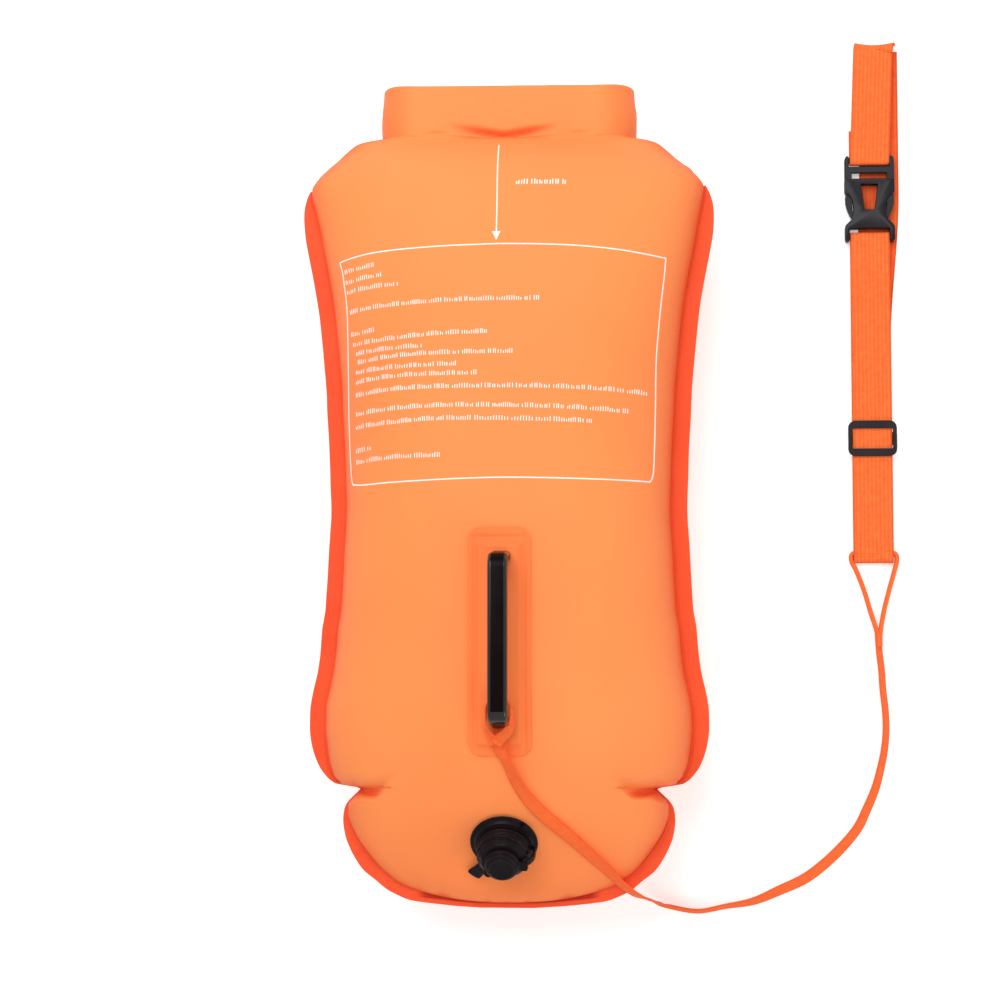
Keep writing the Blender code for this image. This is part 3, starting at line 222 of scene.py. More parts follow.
def lofted_piece(name, rings, finish, smooth, cap_turn=1):
    """Closed skin over rings of points. The caps' turn settles how they split into triangles."""
    count = len(rings[0])
    last = (len(rings) - 1) * count
    faces = [tuple(range(count))[::-cap_turn]]
    for here in range(0, last, count):
        for k in range(count):
            after = (k + 1) % count
            faces.append((here + k, here + after, here + count + after, here + count + k))
    faces.append(tuple(range(last, last + count))[::cap_turn])
    piece = new_piece(name, [point for ring in rings for point in ring], faces, finish)
    face_outwards()
    bpy.ops.object.shade_smooth_by_angle(angle=math.radians(smooth))
    return piece


def webbing_strap(name, line, sides, width, thickness, finish):
    """Strap with rounded edges along a line, with the direction of its width at each point."""
    corner = thickness / 2
    flat = width / 2 - corner
    shape = [(flat * (1 - k / 4), corner) for k in range(9)]
    for angle in (math.pi / 4, math.pi / 2, 3 * math.pi / 4):
        shape.append((-flat - corner * math.sin(angle), corner * math.cos(angle)))
    shape += [(-across, -out) for across, out in shape]
    rings = []
    travel = [0.0]
    for index, centre in enumerate(line):
        before = line[max(index - 1, 0)]
        ahead = (line[min(index + 1, len(line) - 1)] - before).normalized()
        side = (sides[index] - ahead * sides[index].dot(ahead)).normalized()
        normal = side.cross(ahead).normalized()
        rings.append([centre + side * across + normal * out for across, out in shape])
        if index:
            travel.append(travel[-1] + (centre - before).length)
    strap = lofted_piece(name, rings, finish, 50, cap_turn=-1)
    weave = strap.data.uv_layers.new(name="weave")
    for loop in strap.data.loops:
        row, place = divmod(loop.vertex_index, len(shape))
        weave.data[loop.index].uv = (travel[row], shape[place][0])
    return strap


def curve_share(t, start, start_slope, end, end_slope):
    """Value at a share t of the way along a smooth curve between two ends."""
    return (
        (2 * t**3 - 3 * t**2 + 1) * start + (t**3 - 2 * t**2 + t) * start_slope
        + (3 * t**2 - 2 * t**3) * end + (t**3 - t**2) * end_slope
    )


def smooth_route(points, count):
    """Points spread evenly by parameter along a Catmull-Rom curve through the route."""
    ends = [points[0]] + list(points) + [points[-1]]
    spans = len(points) - 1
    smooth = []
    for index in range(count):
        along = index / (count - 1) * spans
        span = min(int(along), spans - 1)
        near = zip(*ends[span:span + 4])
        smooth.append(tuple(curve_share(along - span, x, (y - w) / 2, y, (z - x) / 2) for w, x, y, z in near))
    return smooth


def stand_for(piece, node, body="buoy"):
    """Let a piece take a CAD node's place, the node hidden, and ride on a body unless none is given."""
    if body:
        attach(piece, body)
    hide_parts(node)


def rolled_strap(name, node, route, count, width, thickness):
    """Leash webbing along x, y, z points, each with its roll: 90 degrees where it lies flat."""
    smooth = smooth_route(route, count)
    line = [Vector(point[:3]) for point in smooth]
    sides = []
    for index, point in enumerate(smooth):
        ahead = (line[min(index + 1, count - 1)] - line[max(index - 1, 0)]).normalized()
        up = (Vector((0, 0, 1)) - ahead * ahead.z).normalized()
        roll = math.radians(point[3])
        sides.append(up * math.cos(roll) + ahead.cross(up) * math.sin(roll))
    strap = webbing_strap(name, line, sides, width, thickness, leash_webbing)
    stand_for(strap, node)
    return strap, line


leash_width = 0.0104
leash_webbing = webbing_finish("leash_webbing", (0.94, 0.118, 0.026), (1.0, 0.205, 0.046), 0.0020, leash_width)
leash_route = (
    (-0.0010, -0.1822, 0.1765, 90), (0.0003, -0.1895, 0.1724, 112), (0.0045, -0.1990, 0.1696, 138),
    (0.0132, -0.2182, 0.1563, 126), (0.0271, -0.2358, 0.1460, 112), (0.0462, -0.2529, 0.1338, 118),
    (0.0652, -0.2711, 0.1178, 130), (0.0800, -0.2860, 0.1028, 142), (0.0882, -0.2938, 0.0944, 150),
    (0.0970, -0.3003, 0.0870, 153), (0.1032, -0.3045, 0.0590, 158), (0.1090, -0.3085, 0.0270, 161),
    (0.1180, -0.3130, 0.0090, 161), (0.1412, -0.3171, 0.0055, 161), (0.1637, -0.3131, 0.0055, 158),
    (0.1846, -0.3092, 0.0051, 146), (0.2055, -0.3005, 0.0045, 133), (0.2265, -0.2904, 0.0043, 128),
    (0.2474, -0.2734, 0.0043, 129), (0.2646, -0.2541, 0.0045, 133), (0.2725, -0.2387, 0.0047, 137),
    (0.2792, -0.2232, 0.0049, 141), (0.2836, -0.2078, 0.0051, 145), (0.2869, -0.1923, 0.0052, 148),
    (0.2884, -0.1768, 0.0053, 150), (0.2880, -0.1613, 0.0053, 150), (0.2864, -0.1458, 0.0053, 150),
    (0.2855, -0.1303, 0.0053, 150), (0.2838, -0.1147, 0.0053, 151), (0.2832, -0.1005, 0.0053, 151),
)
hitch_route = (
    (-0.0030, -0.1868, 0.1778, 70), (-0.0052, -0.1815, 0.1800, 40), (-0.0080, -0.1760, 0.1828, 12),
    (-0.0090, -0.1700, 0.1840, 3), (-0.0090, -0.1640, 0.1842, 0), (-0.0084, -0.1588, 0.1842, 0),
    (-0.0055, -0.1562, 0.1842, 0), (0.0000, -0.1556, 0.1842, 0), (0.0055, -0.1562, 0.1842, 0),
    (0.0086, -0.1588, 0.1842, 0), (0.0096, -0.1640, 0.1842, 8), (0.0096, -0.1700, 0.1838, 22),
    (0.0082, -0.1752, 0.1828, 40), (0.0050, -0.1795, 0.1816, 52), (0.0010, -0.1830, 0.1805, 62),
    (-0.0022, -0.1866, 0.1792, 74),
)
leash, leash_line = rolled_strap("leash_webbing_strap", "leash_strap", leash_route, 230, leash_width, 0.0015)
hitch, hitch_line = rolled_strap("leash_hitch_strap", "leash_hitch", hitch_route, 90, 0.0095, 0.0014)

loop_route = (
    (0.2836, -0.1120, 0.0064, 0), (0.2824, -0.1012, 0.0064, 0), (0.2775, -0.0850, 0.0055, 0),
    (0.2726, -0.0678, 0.0048, 0), (0.2670, -0.0530, 0.0046, 0), (0.2634, -0.0455, 0.0046, 0),
    (0.2634, -0.0405, 0.0046, 0), (0.2672, -0.0387, 0.0046, 0), (0.2805, -0.0385, 0.0046, 0),
    (0.2938, -0.0387, 0.0046, 0), (0.2980, -0.0405, 0.0046, 0), (0.2984, -0.0455, 0.0046, 0),
    (0.2962, -0.0540, 0.0046, 0), (0.2922, -0.0678, 0.0046, 0), (0.2878, -0.0850, 0.0048, 0),
    (0.2850, -0.1012, 0.0050, 0), (0.2848, -0.1120, 0.0050, 0),
)
end_loop, loop_line = rolled_strap("leash_loop_strap", "leash_end_loop", loop_route, 90, 0.0060, 0.0036)


# Waist belt: 30 mm orange polyester webbing, folded flat on the ground. It is sewn to the plug's
# bar at the top, turns round the socket's bar, runs back through the slider and is sewn there.

belt_width = 0.031
belt_rib = 0.0031
belt_webbing = webbing_finish("belt_webbing", (0.80, 0.112, 0.024), (1.0, 0.228, 0.052), belt_rib, belt_width)
# The ground layer's webbing is a darker copy of the belt webbing: painted shade for the layer that lies under the
# others.
shaded_back_webbing = webbing_finish("belt_webbing_painted_shade", (0.80, 0.085, 0.020), (1.0, 0.165, 0.040), belt_rib, belt_width)
belt_x = 280.5
front_z, return_z = 8.2, 2.7


def belt_layer(name, node, route, finish, body="buoy"):
    """Belt webbing along x, y, z points in millimetres, lying flat."""
    line = [Vector(point) / 1000 for point in route]
    strap = webbing_strap(name, line, [Vector((1, 0, 0))] * len(line), belt_width, 0.0014, finish)
    stand_for(strap, node, body)
    return strap, line


def half_turn(x_start, x_end, y, z, radius, start, end, steps=12):
    """Points round a fold, drifting from one x to another."""
    points = []
    for index in range(steps + 1):
        angle = math.radians(start + (end - start) * index / steps)
        x = x_start + (x_end - x_start) * index / steps
        points.append((x, y + radius * math.cos(angle), z + radius * math.sin(angle)))
    return points


def straight(start, end, steps):
    """Points between two ends, without the ends."""
    return [tuple(a + (b - a) * step / steps for a, b in zip(start, end)) for step in range(1, steps)]


fold_y, top_y, top_drift = -42.2, 361.0, 8.0
back_route = [(belt_x, fold_y, 1.0)]
for step in range(1, 41):
    y = fold_y + (top_y - fold_y) * step / 40
    drift = min(max((y - 120.0) / 130.0, 0.0), 1.0)
    back_route.append((belt_x + top_drift * drift * drift * (3 - 2 * drift), y, 1.0))
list(belt_layer("belt_ground_layer", "belt_back_layer", back_route, shaded_back_webbing))

socket_bar_y = 211.55
front_route = half_turn(belt_x, belt_x, -42.7, 4.6, 3.6, 270, 90)
front_route += straight((belt_x, -42.7, front_z), (belt_x, socket_bar_y, front_z), 30)
front_route += half_turn(belt_x, belt_x, socket_bar_y, 5.45, 2.75, 90, -90)
front_route += [(belt_x, 208.5, return_z), (belt_x, 206.05, return_z)]
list(belt_layer("belt_front_stretch", "belt_front_layer", front_route, belt_webbing))

slider_bar_y = 49.2
return_start = (belt_x, 205.75, return_z)
return_route = [return_start] + straight(return_start, (belt_x, slider_bar_y, return_z), 24)
return_route += half_turn(belt_x, belt_x, slider_bar_y, 4.6, 1.9, 270, 90)
return_route += [(belt_x, y, 6.5) for y in (54.0, 59.0, 65.2)]
belt_return, return_line = belt_layer(
    "belt_return_stretch", "belt_return_layer", return_route, belt_webbing, body=None,
)
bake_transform(belt_return)

plug_bar_y = 272.05
upper_route = half_turn(288.0, 284.6, 361.7, 4.6, 3.6, -90, 90)
upper_route += straight((284.6, 361.7, front_z), (281.0, plug_bar_y, front_z), 12)
upper_route += half_turn(281.0, belt_x, plug_bar_y, 5.45, 2.75, 90, 270)
upper_route += [(belt_x, y, return_z) for y in (280.0, 288.5, 297.05)]
belt_upper, upper_line = belt_layer(
    "belt_upper_stretch", "belt_upper_layer", upper_route, belt_webbing, body=None,
)
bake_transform(belt_upper)


# Air chambers: two panels of coated orange fabric, welded face to face round their edge and blown
# up through the valves. The weld draws the edge in, and the bag folds in above its lowest lobe.
# Tables hold y and half width, share of the margin, or height above the seam, in millimetres.

outline = (
    (-310.0, 20.0), (-308.3, 45.0), (-304.6, 74.0), (-301.0, 83.5), (-297.0, 91.5), (-289.6, 100.7),
    (-282.0, 110.2), (-274.5, 115.6), (-266.9, 119.8), (-256.0, 124.0), (-244.0, 125.6), (-236.0, 124.6),
    (-231.0, 122.2), (-226.8, 118.2), (-223.4, 114.5), (-221.2, 112.3), (-219.8, 115.5), (-218.6, 124.0),
    (-217.8, 129.8), (-216.3, 133.2), (-213.9, 136.6), (-211.0, 139.3), (-206.5, 142.8), (-199.8, 146.2),
    (-191.4, 149.0), (-184.7, 150.4), (-175.0, 151.5), (-163.0, 151.3), (-154.6, 150.3), (-146.0, 148.6),
    (-131.9, 145.5), (-115.9, 143.5), (-100.0, 142.3), (-85.7, 140.0), (-63.7, 138.7), (-40.4, 137.6),
    (-10.0, 136.0), (16.0, 136.9), (35.0, 137.5), (62.0, 139.2), (80.4, 140.0), (103.0, 142.0),
    (125.7, 144.3), (143.5, 146.4), (155.9, 148.4), (170.0, 151.0), (186.0, 154.3), (195.0, 156.0),
    (204.0, 157.3), (216.0, 158.0), (222.8, 157.7), (229.0, 156.4), (235.0, 154.2), (241.5, 150.1),
    (247.7, 144.9), (254.0, 138.3), (260.2, 131.1), (266.5, 124.4), (270.0, 120.4), (272.4, 117.2),
    (274.4, 112.0), (276.0, 104.0), (277.2, 96.0),
)
margin_share = (
    (-310.0, 1.0), (-275.0, 1.0), (-266.9, 0.93), (-256.0, 0.74), (-244.0, 0.54), (-236.0, 0.42),
    (-231.0, 0.34), (-226.8, 0.24), (-223.4, 0.14), (-221.2, 0.10), (-219.8, 0.13), (-217.8, 0.21),
    (-213.9, 0.38), (-211.0, 0.46), (-206.5, 0.60), (-199.8, 0.76), (-191.4, 0.90), (-184.7, 0.96),
    (-170.0, 1.0), (201.0, 1.0), (216.0, 0.85), (223.0, 0.70), (229.0, 0.48), (236.0, 0.19),
    (240.0, 0.06), (247.0, 0.04), (277.2, 0.04),
)
low_half = (
    (-297.4, 67.0), (-293.4, 78.3), (-287.4, 87.9), (-281.3, 95.4), (-275.3, 101.0), (-266.2, 107.8),
    (-257.2, 113.9), (-248.1, 118.4), (-239.1, 120.9), (-234.0, 121.0), (-230.0, 119.3), (-226.8, 116.2),
    (-223.4, 113.0), (-221.2, 111.2),
)
crown_width = (
    (-297.4, 67.0), (-290.0, 85.0), (-275.3, 104.0), (-257.2, 116.0), (-239.1, 122.5), (-231.0, 125.5),
    (-221.0, 129.0), (-211.0, 132.3), (-205.0, 133.9), (-199.8, 134.6),
)
low_rise = (
    (-297.4, 0.0), (-297.0, 3.0), (-296.2, 6.5), (-293.0, 12.5), (-288.0, 18.5), (-282.0, 24.0),
    (-266.9, 36.0), (-244.0, 52.5), (-229.1, 61.2), (-213.9, 69.0), (-206.5, 72.4), (-191.4, 78.2),
    (-168.7, 83.5), (-146.0, 85.9), (-115.9, 86.9), (-85.7, 87.2),
)
front_rise = low_rise + (
    (-10.0, 87.2), (35.0, 86.8), (80.4, 85.5), (125.7, 82.0), (155.9, 77.6), (186.0, 71.9),
    (201.0, 68.0), (216.0, 63.2), (229.0, 57.1), (238.4, 51.0), (247.7, 43.5), (257.0, 33.5),
    (264.0, 24.0), (269.5, 16.5), (273.0, 11.8), (276.0, 9.2), (278.2, 8.2), (278.8, 5.0), (279.0, 0.0),
)
back_rise = low_rise + (
    (80.4, 85.5), (125.7, 82.0), (155.9, 77.6), (186.0, 70.6), (201.0, 65.0), (216.0, 57.1),
    (229.0, 47.1), (238.4, 36.0), (244.0, 22.0), (247.0, 9.0), (247.6, 2.5), (247.8, 0.0),
)
row_places = (
    (0.0, -297.4), (0.06, -293.0), (0.14, -268.0), (0.26, -232.0), (0.34, -214.0), (0.44, -190.0),
    (0.78, 180.0), (0.90, 250.0), (0.97, 274.0), (1.0, 279.0),
)
fold_line = (
    (80.0, -213.0), (84.0, -215.0), (88.0, -219.0), (92.0, -222.6), (97.5, -224.4), (103.5, -224.2),
    (108.0, -222.8), (112.0, -221.2),
)
bottom_tucks = ((-49.0, 3.6, 6.0), (-15.5, 2.0, 3.0), (-1.0, 1.6, 3.4), (15.0, 2.0, 3.4), (44.0, 3.2, 6.0))
bottom_y, notch_y, lobe_end_y = -297.4, -221.2, -199.8
seam_z = 85.0
wall_gap = 1.3
margin_width = 13.0
crown_power = 2.6
top_shift = 1.6
top_slant = 0.0095


def read_table(table, place):
    """Value of a table between its points, on a curve that never overshoots them."""
    if place <= table[0][0]:
        return table[0][1]
    if place >= table[-1][0]:
        return table[-1][1]
    grades = [(y1 - y0) / (x1 - x0) for (x0, y0), (x1, y1) in zip(table, table[1:])]
    index = next(k for k in range(len(grades)) if table[k][0] <= place <= table[k + 1][0])
    slopes = []
    for k in (index, index + 1):
        before, after = grades[max(k - 1, 0)], grades[min(k, len(grades) - 1)]
        if k in (0, len(grades)):
            slopes.append(before)
        else:
            slopes.append(0.0 if before * after <= 0 else 2 * before * after / (before + after))
    (x0, y0), (x1, y1) = table[index], table[index + 1]
    span = x1 - x0
    return curve_share((place - x0) / span, y0, slopes[0] * span, y1, slopes[1] * span)


def ease(low, high, value):
    """Smooth step from 0 at one value to 1 at another."""
    t = min(max((value - low) / (high - low), 0.0), 1.0)
    return t * t * (3 - 2 * t)


def hump(value, reach, power=2):
    """Smooth hump that is 1 in its middle."""
    return math.exp(-(value / reach) ** power)


def panel_half(y):
    """Half width of a panel: the weld runs a margin's width inside the cut edge, square to it."""
    if y < notch_y:
        return read_table(low_half, y)
    slope = (read_table(outline, y + 1.5) - read_table(outline, y - 1.5)) / 3.0
    margin = margin_width * read_table(margin_share, y) * min(math.hypot(1.0, slope), 1.75)
    return read_table(outline, y) - margin


def fold_depth(x, y):
    """How deep the sharp fold beside each notch is at a place, from 0 to 1."""
    x = abs(x)
    centre = read_table(fold_line, x)
    across = hump(y - centre, 6.5 if y > centre else 2.2)
    return across * (0.12 + 0.88 * ease(84.0, 101.0, x)) * ease(76.0, 88.0, x)


def panel_height(x, y, rise_table):
    """Height of an inflated panel above the seam, in millimetres, with its folds and puckers."""
    half = panel_half(y)
    rise = read_table(rise_table, y)
    full = half
    if y < lobe_end_y:
        full = max(half, read_table(crown_width, y))
    crown = (1 - min(abs(x) / full, 1.0) ** crown_power) ** 0.5
    drawn_in = min(1.3 * (full - half), 20.0)
    if drawn_in > 0.5 and abs(x) > half - drawn_in:
        near = min((abs(x) - half + drawn_in) / drawn_in, 1.0)
        crown *= (1 - near * near) ** 0.5
    height = rise * crown
    height *= 1 - 0.34 * fold_depth(x, y)
    height -= 5.5 * hump(x + 2.0, 33.0, 4) * hump(y - 278.5, 3.0)
    slack = noise.noise(Vector((x * 0.017, y * 0.011, 12.5))) * 1.1
    slack += noise.noise(Vector((x * 0.05, y * 0.03, 7.0))) * 0.30
    height += slack * crown * min(rise / 40.0, 1.0)
    near_edge = 1 - min(abs(x) / half, 1.0)
    pucker = math.exp(-near_edge / 0.050) * (1 - math.exp(-near_edge / 0.006))
    lower = 0.55 + 0.9 * ease(-120.0, -200.0, y)
    wave = noise.noise(Vector((math.copysign(3.0, x), y * 0.085, 1.5)))
    height += 2.0 * pucker * wave * lower
    up = y - bottom_y
    for place, depth, spread_out in bottom_tucks:
        tuck = hump(x - place - 0.25 * up, spread_out + 0.15 * up)
        height -= depth * tuck * math.exp(-up / 9.0) * (1 - math.exp(-up / 1.2))
    return max(height, 0.0)


def painted_shade_at(x, y, side):
    """Painted shade: how far the fabric's colour is painted a deeper red near the welds, along and towards the bottom
    edge, in the folds and tucks and under the roll, from 0 to 1.
    """
    low = y - bottom_y
    # Painted shade near the welds where the panel turns from the light, a painted shadow line along the bottom edge,
    # darker towards the bottom, and painted shade in the notch folds.
    tones = [
        math.exp((abs(x) - panel_half(y)) / 7.0), 0.9 * math.exp(-low / 1.5), 0.30 * math.exp(-low / 25.0),
        0.75 * fold_depth(x, y),
    ]
    # Painted shade in the tucks along the bottom edge.
    for place, depth, spread_out in bottom_tucks:
        across = hump(x - place - 0.2 * low, 1.3 * spread_out)
        tones.append(1.7 * across * math.exp(-low / (0.8 * depth)))
    # Painted shade in the tuck under the roll, on the front panel only.
    if side > 0:
        tones.append(0.9 * hump(x + 2.0, 33.0, 4) * hump(y - 279.0, 2.2))
    return min(max(tones), 1.0)


def mark_points(piece, name, values):
    """Keep a number for each point of a piece, for its material."""
    piece.data.attributes.new(name, "FLOAT", "POINT").data.foreach_set("value", values)


def give_finish(piece, *finishes):
    piece.data.materials.clear()
    for finish in finishes:
        piece.data.materials.append(finish)


def panel_mesh(name, rise_table, side, rows, columns, finish):
    """Blown-up panel: a grid drawn out to the outline, crowned, and closed by a flat wall inside."""
    bpy.ops.object.select_all(action="DESELECT")
    bpy.ops.mesh.primitive_grid_add(x_subdivisions=columns, y_subdivisions=rows, size=2)
    panel = bpy.context.object
    panel.name = name
    panel.data.name = name
    stretch = (rise_table[-1][0] - bottom_y) / (front_rise[-1][0] - bottom_y)
    wall = seam_z + wall_gap * side
    painted_shade = []
    for vertex in panel.data.vertices:
        y = bottom_y + (read_table(row_places, (vertex.co.y + 1) / 2) - bottom_y) * stretch
        round_way = math.cos(math.pi * (1 - vertex.co.x) / 2)
        x = panel_half(y) * math.copysign(abs(round_way) ** (2 / crown_power), round_way)
        z = wall + side * max(panel_height(x, y, rise_table), 0.4)
        if side < 0 and z < 6.0:
            z = 0.4 + 5.6 * math.exp((z - 6.0) / 5.6)
        # Painted shade for each point, kept for the fabric's colour.
        painted_shade.append(painted_shade_at(x, y, side))
        y -= 8.6 * max(1 - (abs(x) / 67.0) ** 2.4, 0.0) * ease(-268.0, bottom_y, y)
        shifted = x - top_shift * ease(190.0, 275.0, y)
        vertex.co = Vector((shifted, y - top_slant * x * ease(225.0, 275.0, y), z)) / 1000
    mark_points(panel, "painted_shade", painted_shade)
    bpy.ops.object.mode_set(mode="EDIT")
    bpy.ops.mesh.select_all(action="SELECT")
    bpy.ops.mesh.extrude_region_move(TRANSFORM_OT_translate={"value": (0, 0, -0.001 * side)})
    bpy.ops.transform.resize(value=(1, 1, 0), center_override=(0, 0, wall / 1000))
    bpy.ops.object.mode_set(mode="OBJECT")
    face_outwards()
    bpy.ops.object.shade_smooth_by_angle(angle=math.radians(60))
    give_finish(panel, finish)
    return panel


def own_axes(tree):
    """The piece's own x, y and z as sockets."""
    place = tree.nodes.new("ShaderNodeTexCoord")
    parts = tree.nodes.new("ShaderNodeSeparateXYZ")
    tree.links.new(place.outputs["Object"], parts.inputs[0])
    return parts.outputs


def kept_number(tree, name):
    """Number that mark_points kept."""
    number = tree.nodes.new("ShaderNodeAttribute")
    number.attribute_name = name
    return number.outputs["Fac"]


def coated_finish(name, dark, light, roughness, coarse):
    """Coated fabric: a close weave that shows faintly through a smooth skin, with painted shade in a deeper red where
    the piece keeps it.
    """
    finish, tree, shader = start_finish(name, roughness, 0.10)
    cloud, grain, pebble = speckle(tree, 7.0, 2.0), speckle(tree, 650.0, 2.0), speckle(tree, 95.0, 4.0)
    axes = own_axes(tree)
    thread = 2 * math.pi / 0.0011
    warp, weft = [maths(tree, "SINE", maths(tree, "MULTIPLY", axes[way], thread)) for way in "XY"]
    height = mixed(tree, (maths(tree, "MULTIPLY", warp, weft), 0.25), (grain, 0.5), (pebble, coarse))
    share = mixed(tree, (cloud, 0.9), (grain, 0.25), (-0.10, 1.0))
    # Painted shade: the kept share mixes the colour towards a deep red.
    painted_shade_share = maths(tree, "MULTIPLY", kept_number(tree, "painted_shade"), 0.85)
    colour = two_tones(tree, painted_shade_share, two_tones(tree, share, dark, light), (0.88, 0.10, 0.024))
    rough = mixed(tree, (pebble, 0.22), (roughness - 0.11, 1.0))
    set_surface(tree, shader, colour, height, 0.22, 0.0003, rough)
    return finish


bag_fabric = coated_finish("bag_fabric", (0.99, 0.245, 0.070), (1.0, 0.325, 0.100), 0.50, 0.35)
front_panel = panel_mesh("front_panel", front_rise, 1, 240, 130, bag_fabric)
back_panel = panel_mesh("back_panel", back_rise, -1, 210, 110, bag_fabric)
for panel, node in ((front_panel, "front_chamber"), (back_panel, "back_chamber")):
    stand_for(panel, node)


# Welded margin: the panels' edges, welded flat together and cut 13 mm outside the weld. The
# tool leaves fine slanting ribs in it and a bead along its inner side.

def band_finish(name, dark, light):
    """Welded fabric: slanting ribs of the welding tool, darker in the shade under the panels."""
    finish, tree, shader = start_finish(name, 0.55, 0.18)
    axes = own_axes(tree)
    slant = mixed(tree, (axes["X"], 0.8), (axes["Y"], 1.0))
    ribs = maths(tree, "SINE", maths(tree, "MULTIPLY", slant, 2 * math.pi / 0.0019))
    speck, cloud = speckle(tree, 420.0, 3.0), speckle(tree, 30.0, 2.0)
    share = mixed(tree, (ribs, 0.12), (speck, 0.6), (cloud, 0.4))
    colour = two_tones(tree, share, dark, light)
    colour = two_tones(tree, kept_number(tree, "under_edge"), colour, (0.48, 0.022, 0.006))
    height = mixed(tree, (ribs, 0.3), (speck, 1.0))
    set_surface(tree, shader, colour, height, 0.4, 0.0003, mixed(tree, (speck, 0.2), (0.45, 1.0)))
    return finish


band_fabric = band_finish("welded_margin", (0.80, 0.060, 0.016), (0.98, 0.125, 0.034))
cut_bottom, cut_top = -310.0, 238.4
margin_section = (
    (0.0, 0.0, 0), (0.3, 0.6, 0), (3.0, 0.75, 0), (4.2, 0.75, 0), (9.2, 0.8, 0), (10.2, 1.15, 0), (11.2, 0.8, 0),
    (13.0, 0.8, 0), (13.0, 0.8, 6), (13.0, -0.8, 6), (9.0, -0.8, 0), (0.3, -0.6, 0),
)
edge_line = []
for step in range(361):
    y = cut_bottom + (cut_top - cut_bottom) * (step / 360) ** 1.5
    edge_line.append(Vector((read_table(outline, y), y, 0.0)))
other_side = [Vector((-point.x, point.y, 0.0)) for point in reversed(edge_line)]
edge_line = other_side + [Vector((0, cut_bottom, 0))] + edge_line
even_line = [edge_line[0]]
for point in edge_line[1:]:
    if (point - even_line[-1]).length > 2.0:
        even_line.append(point)
even_line[-1] = edge_line[-1]
rings = []
under_edge = []
for index, point in enumerate(even_line):
    before = even_line[max(index - 2, 0)]
    after = even_line[min(index + 2, len(even_line) - 1)]
    ahead = (after - before).normalized()
    inward = Vector((-ahead.y, ahead.x, 0.0))
    wave = noise.noise(Vector((point.x * 0.045, point.y * 0.045, 3.0)))
    wave += 0.4 * noise.noise(Vector((point.x * 0.12, point.y * 0.12, 9.0)))
    narrow = max(read_table(margin_share, point.y), 0.12)
    shift = -top_shift * ease(190.0, 275.0, point.y)
    ring = []
    for depth, high, under in margin_section:
        share = 1 - min(depth / margin_width, 1.0)
        flop = 1.6 * wave * share * share * narrow
        inner = point + inward * (depth * narrow + under)
        ring.append((inner + Vector((shift, 0, seam_z + high + flop))) / 1000)
        shade = ease(72.0, 62.0, abs(point.x)) * ease(-290.0, -298.0, point.y)
        under_edge.append(ease(2.9, 4.1, depth) * shade)
    rings.append(ring)
margin = lofted_piece("welded_margin_band", rings, band_fabric, 40)
mark_points(margin, "under_edge", under_edge)
stand_for(margin, "seam_band")


# Roll-top: the mouth of the dry pouch rolled three times round a stiff strip into a flat collar.
# The roll is bent back so that the buckle behind the bag joins its two ends.

def roll_point(share, straight_half=68.6, radius=23.5):
    """Point and outward direction on the roll's centre line, seen along the bag."""
    travel = (share - 0.5) * 2 * (straight_half + math.pi * radius)
    side = math.copysign(1.0, travel)
    reach = abs(travel)
    if reach <= straight_half:
        return travel, seam_z, 0.0, 1.0
    angle = (reach - straight_half) / radius
    x = straight_half + radius * math.sin(angle)
    return side * x, seam_z - radius * (1 - math.cos(angle)), side * math.sin(angle), math.cos(angle)


arc = [(2.6 * math.sin(math.radians(a)), 2.6 * math.cos(math.radians(a))) for a in range(15, 91, 15)]
section = [(-17.6 + 35.2 * k / 30, 7.9) for k in range(31)]
section += [(17.7 + s, 5.3 + c) for s, c in arc] + [(20.3, 3.5 - 7.0 * k / 4) for k in range(5)]
section += [(17.7 + c, -5.3 - s) for s, c in arc] + [(17.6 - 35.2 * k / 12, -7.9) for k in range(13)]
section += [(-17.7 - s, -5.3 - c) for s, c in arc] + [(-20.3, -3.5 + 7.0 * k / 4) for k in range(5)]
section += [(-17.7 - c, 5.3 + s) for s, c in arc]
section_top = 20.3
roll_y = 296.8


def collar_ring(share, size):
    """One ring of points round the roll, drawn in towards its middle by the given share."""
    x, z, out_x, out_z = roll_point(share)
    ring = []
    for up, out in section:
        puff = noise.noise(Vector((share * 9.0, up * 0.05, out * 0.05))) * 0.6
        puff += 0.3 * noise.noise(Vector((share * 40.0, up * 0.12, 5.0)))
        front = 1.0 if out > 0 else 0.0
        valley = -18.6 + 5.5 * min(abs(x + 2.0) / 34.0, 1.5)
        sag = -5.2 * hump(x + 2.0, 33.0, 4) * hump(up - valley, 2.6) * ease(30.0, 0.0, out_x)
        pinch = -1.4 * hump(abs(x) - 55.0, 9.0) * hump(up + 17.0, 1.3)
        out += puff * math.copysign(1.0, out) + (sag + pinch) * front * (1.0 - abs(out_x))
        taper = 1.0 - 0.022 * ease(-2.0, 18.0, up) - 0.008 * ease(-4.0, -18.0, up)
        crown = (0.6 + 3.0 * ease(68.0, 97.0, abs(x))) * max(up, 0.0) / section_top
        y = roll_y + (up + crown) * size - top_slant * x
        ring.append(Vector((x * taper + out_x * out * size - 1.1, y, z + out_z * out * size)) / 1000)
    return ring


rolled_end = (
    (0.030, 0.30), (0.004, 0.30), (0.004, 0.46), (0.030, 0.46), (0.030, 0.62), (0.003, 0.62), (0.003, 0.78),
    (0.026, 0.78), (0.026, 0.90), (0.002, 0.90),
)
rings = [collar_ring(share, size) for share, size in rolled_end]
rings += [collar_ring(0.001 + 0.998 * step / 200, 1.0) for step in range(201)]
rings += [collar_ring(1 - share, size) for share, size in reversed(rolled_end)]
collar = lofted_piece("rolled_collar", rings, bag_fabric, 50)
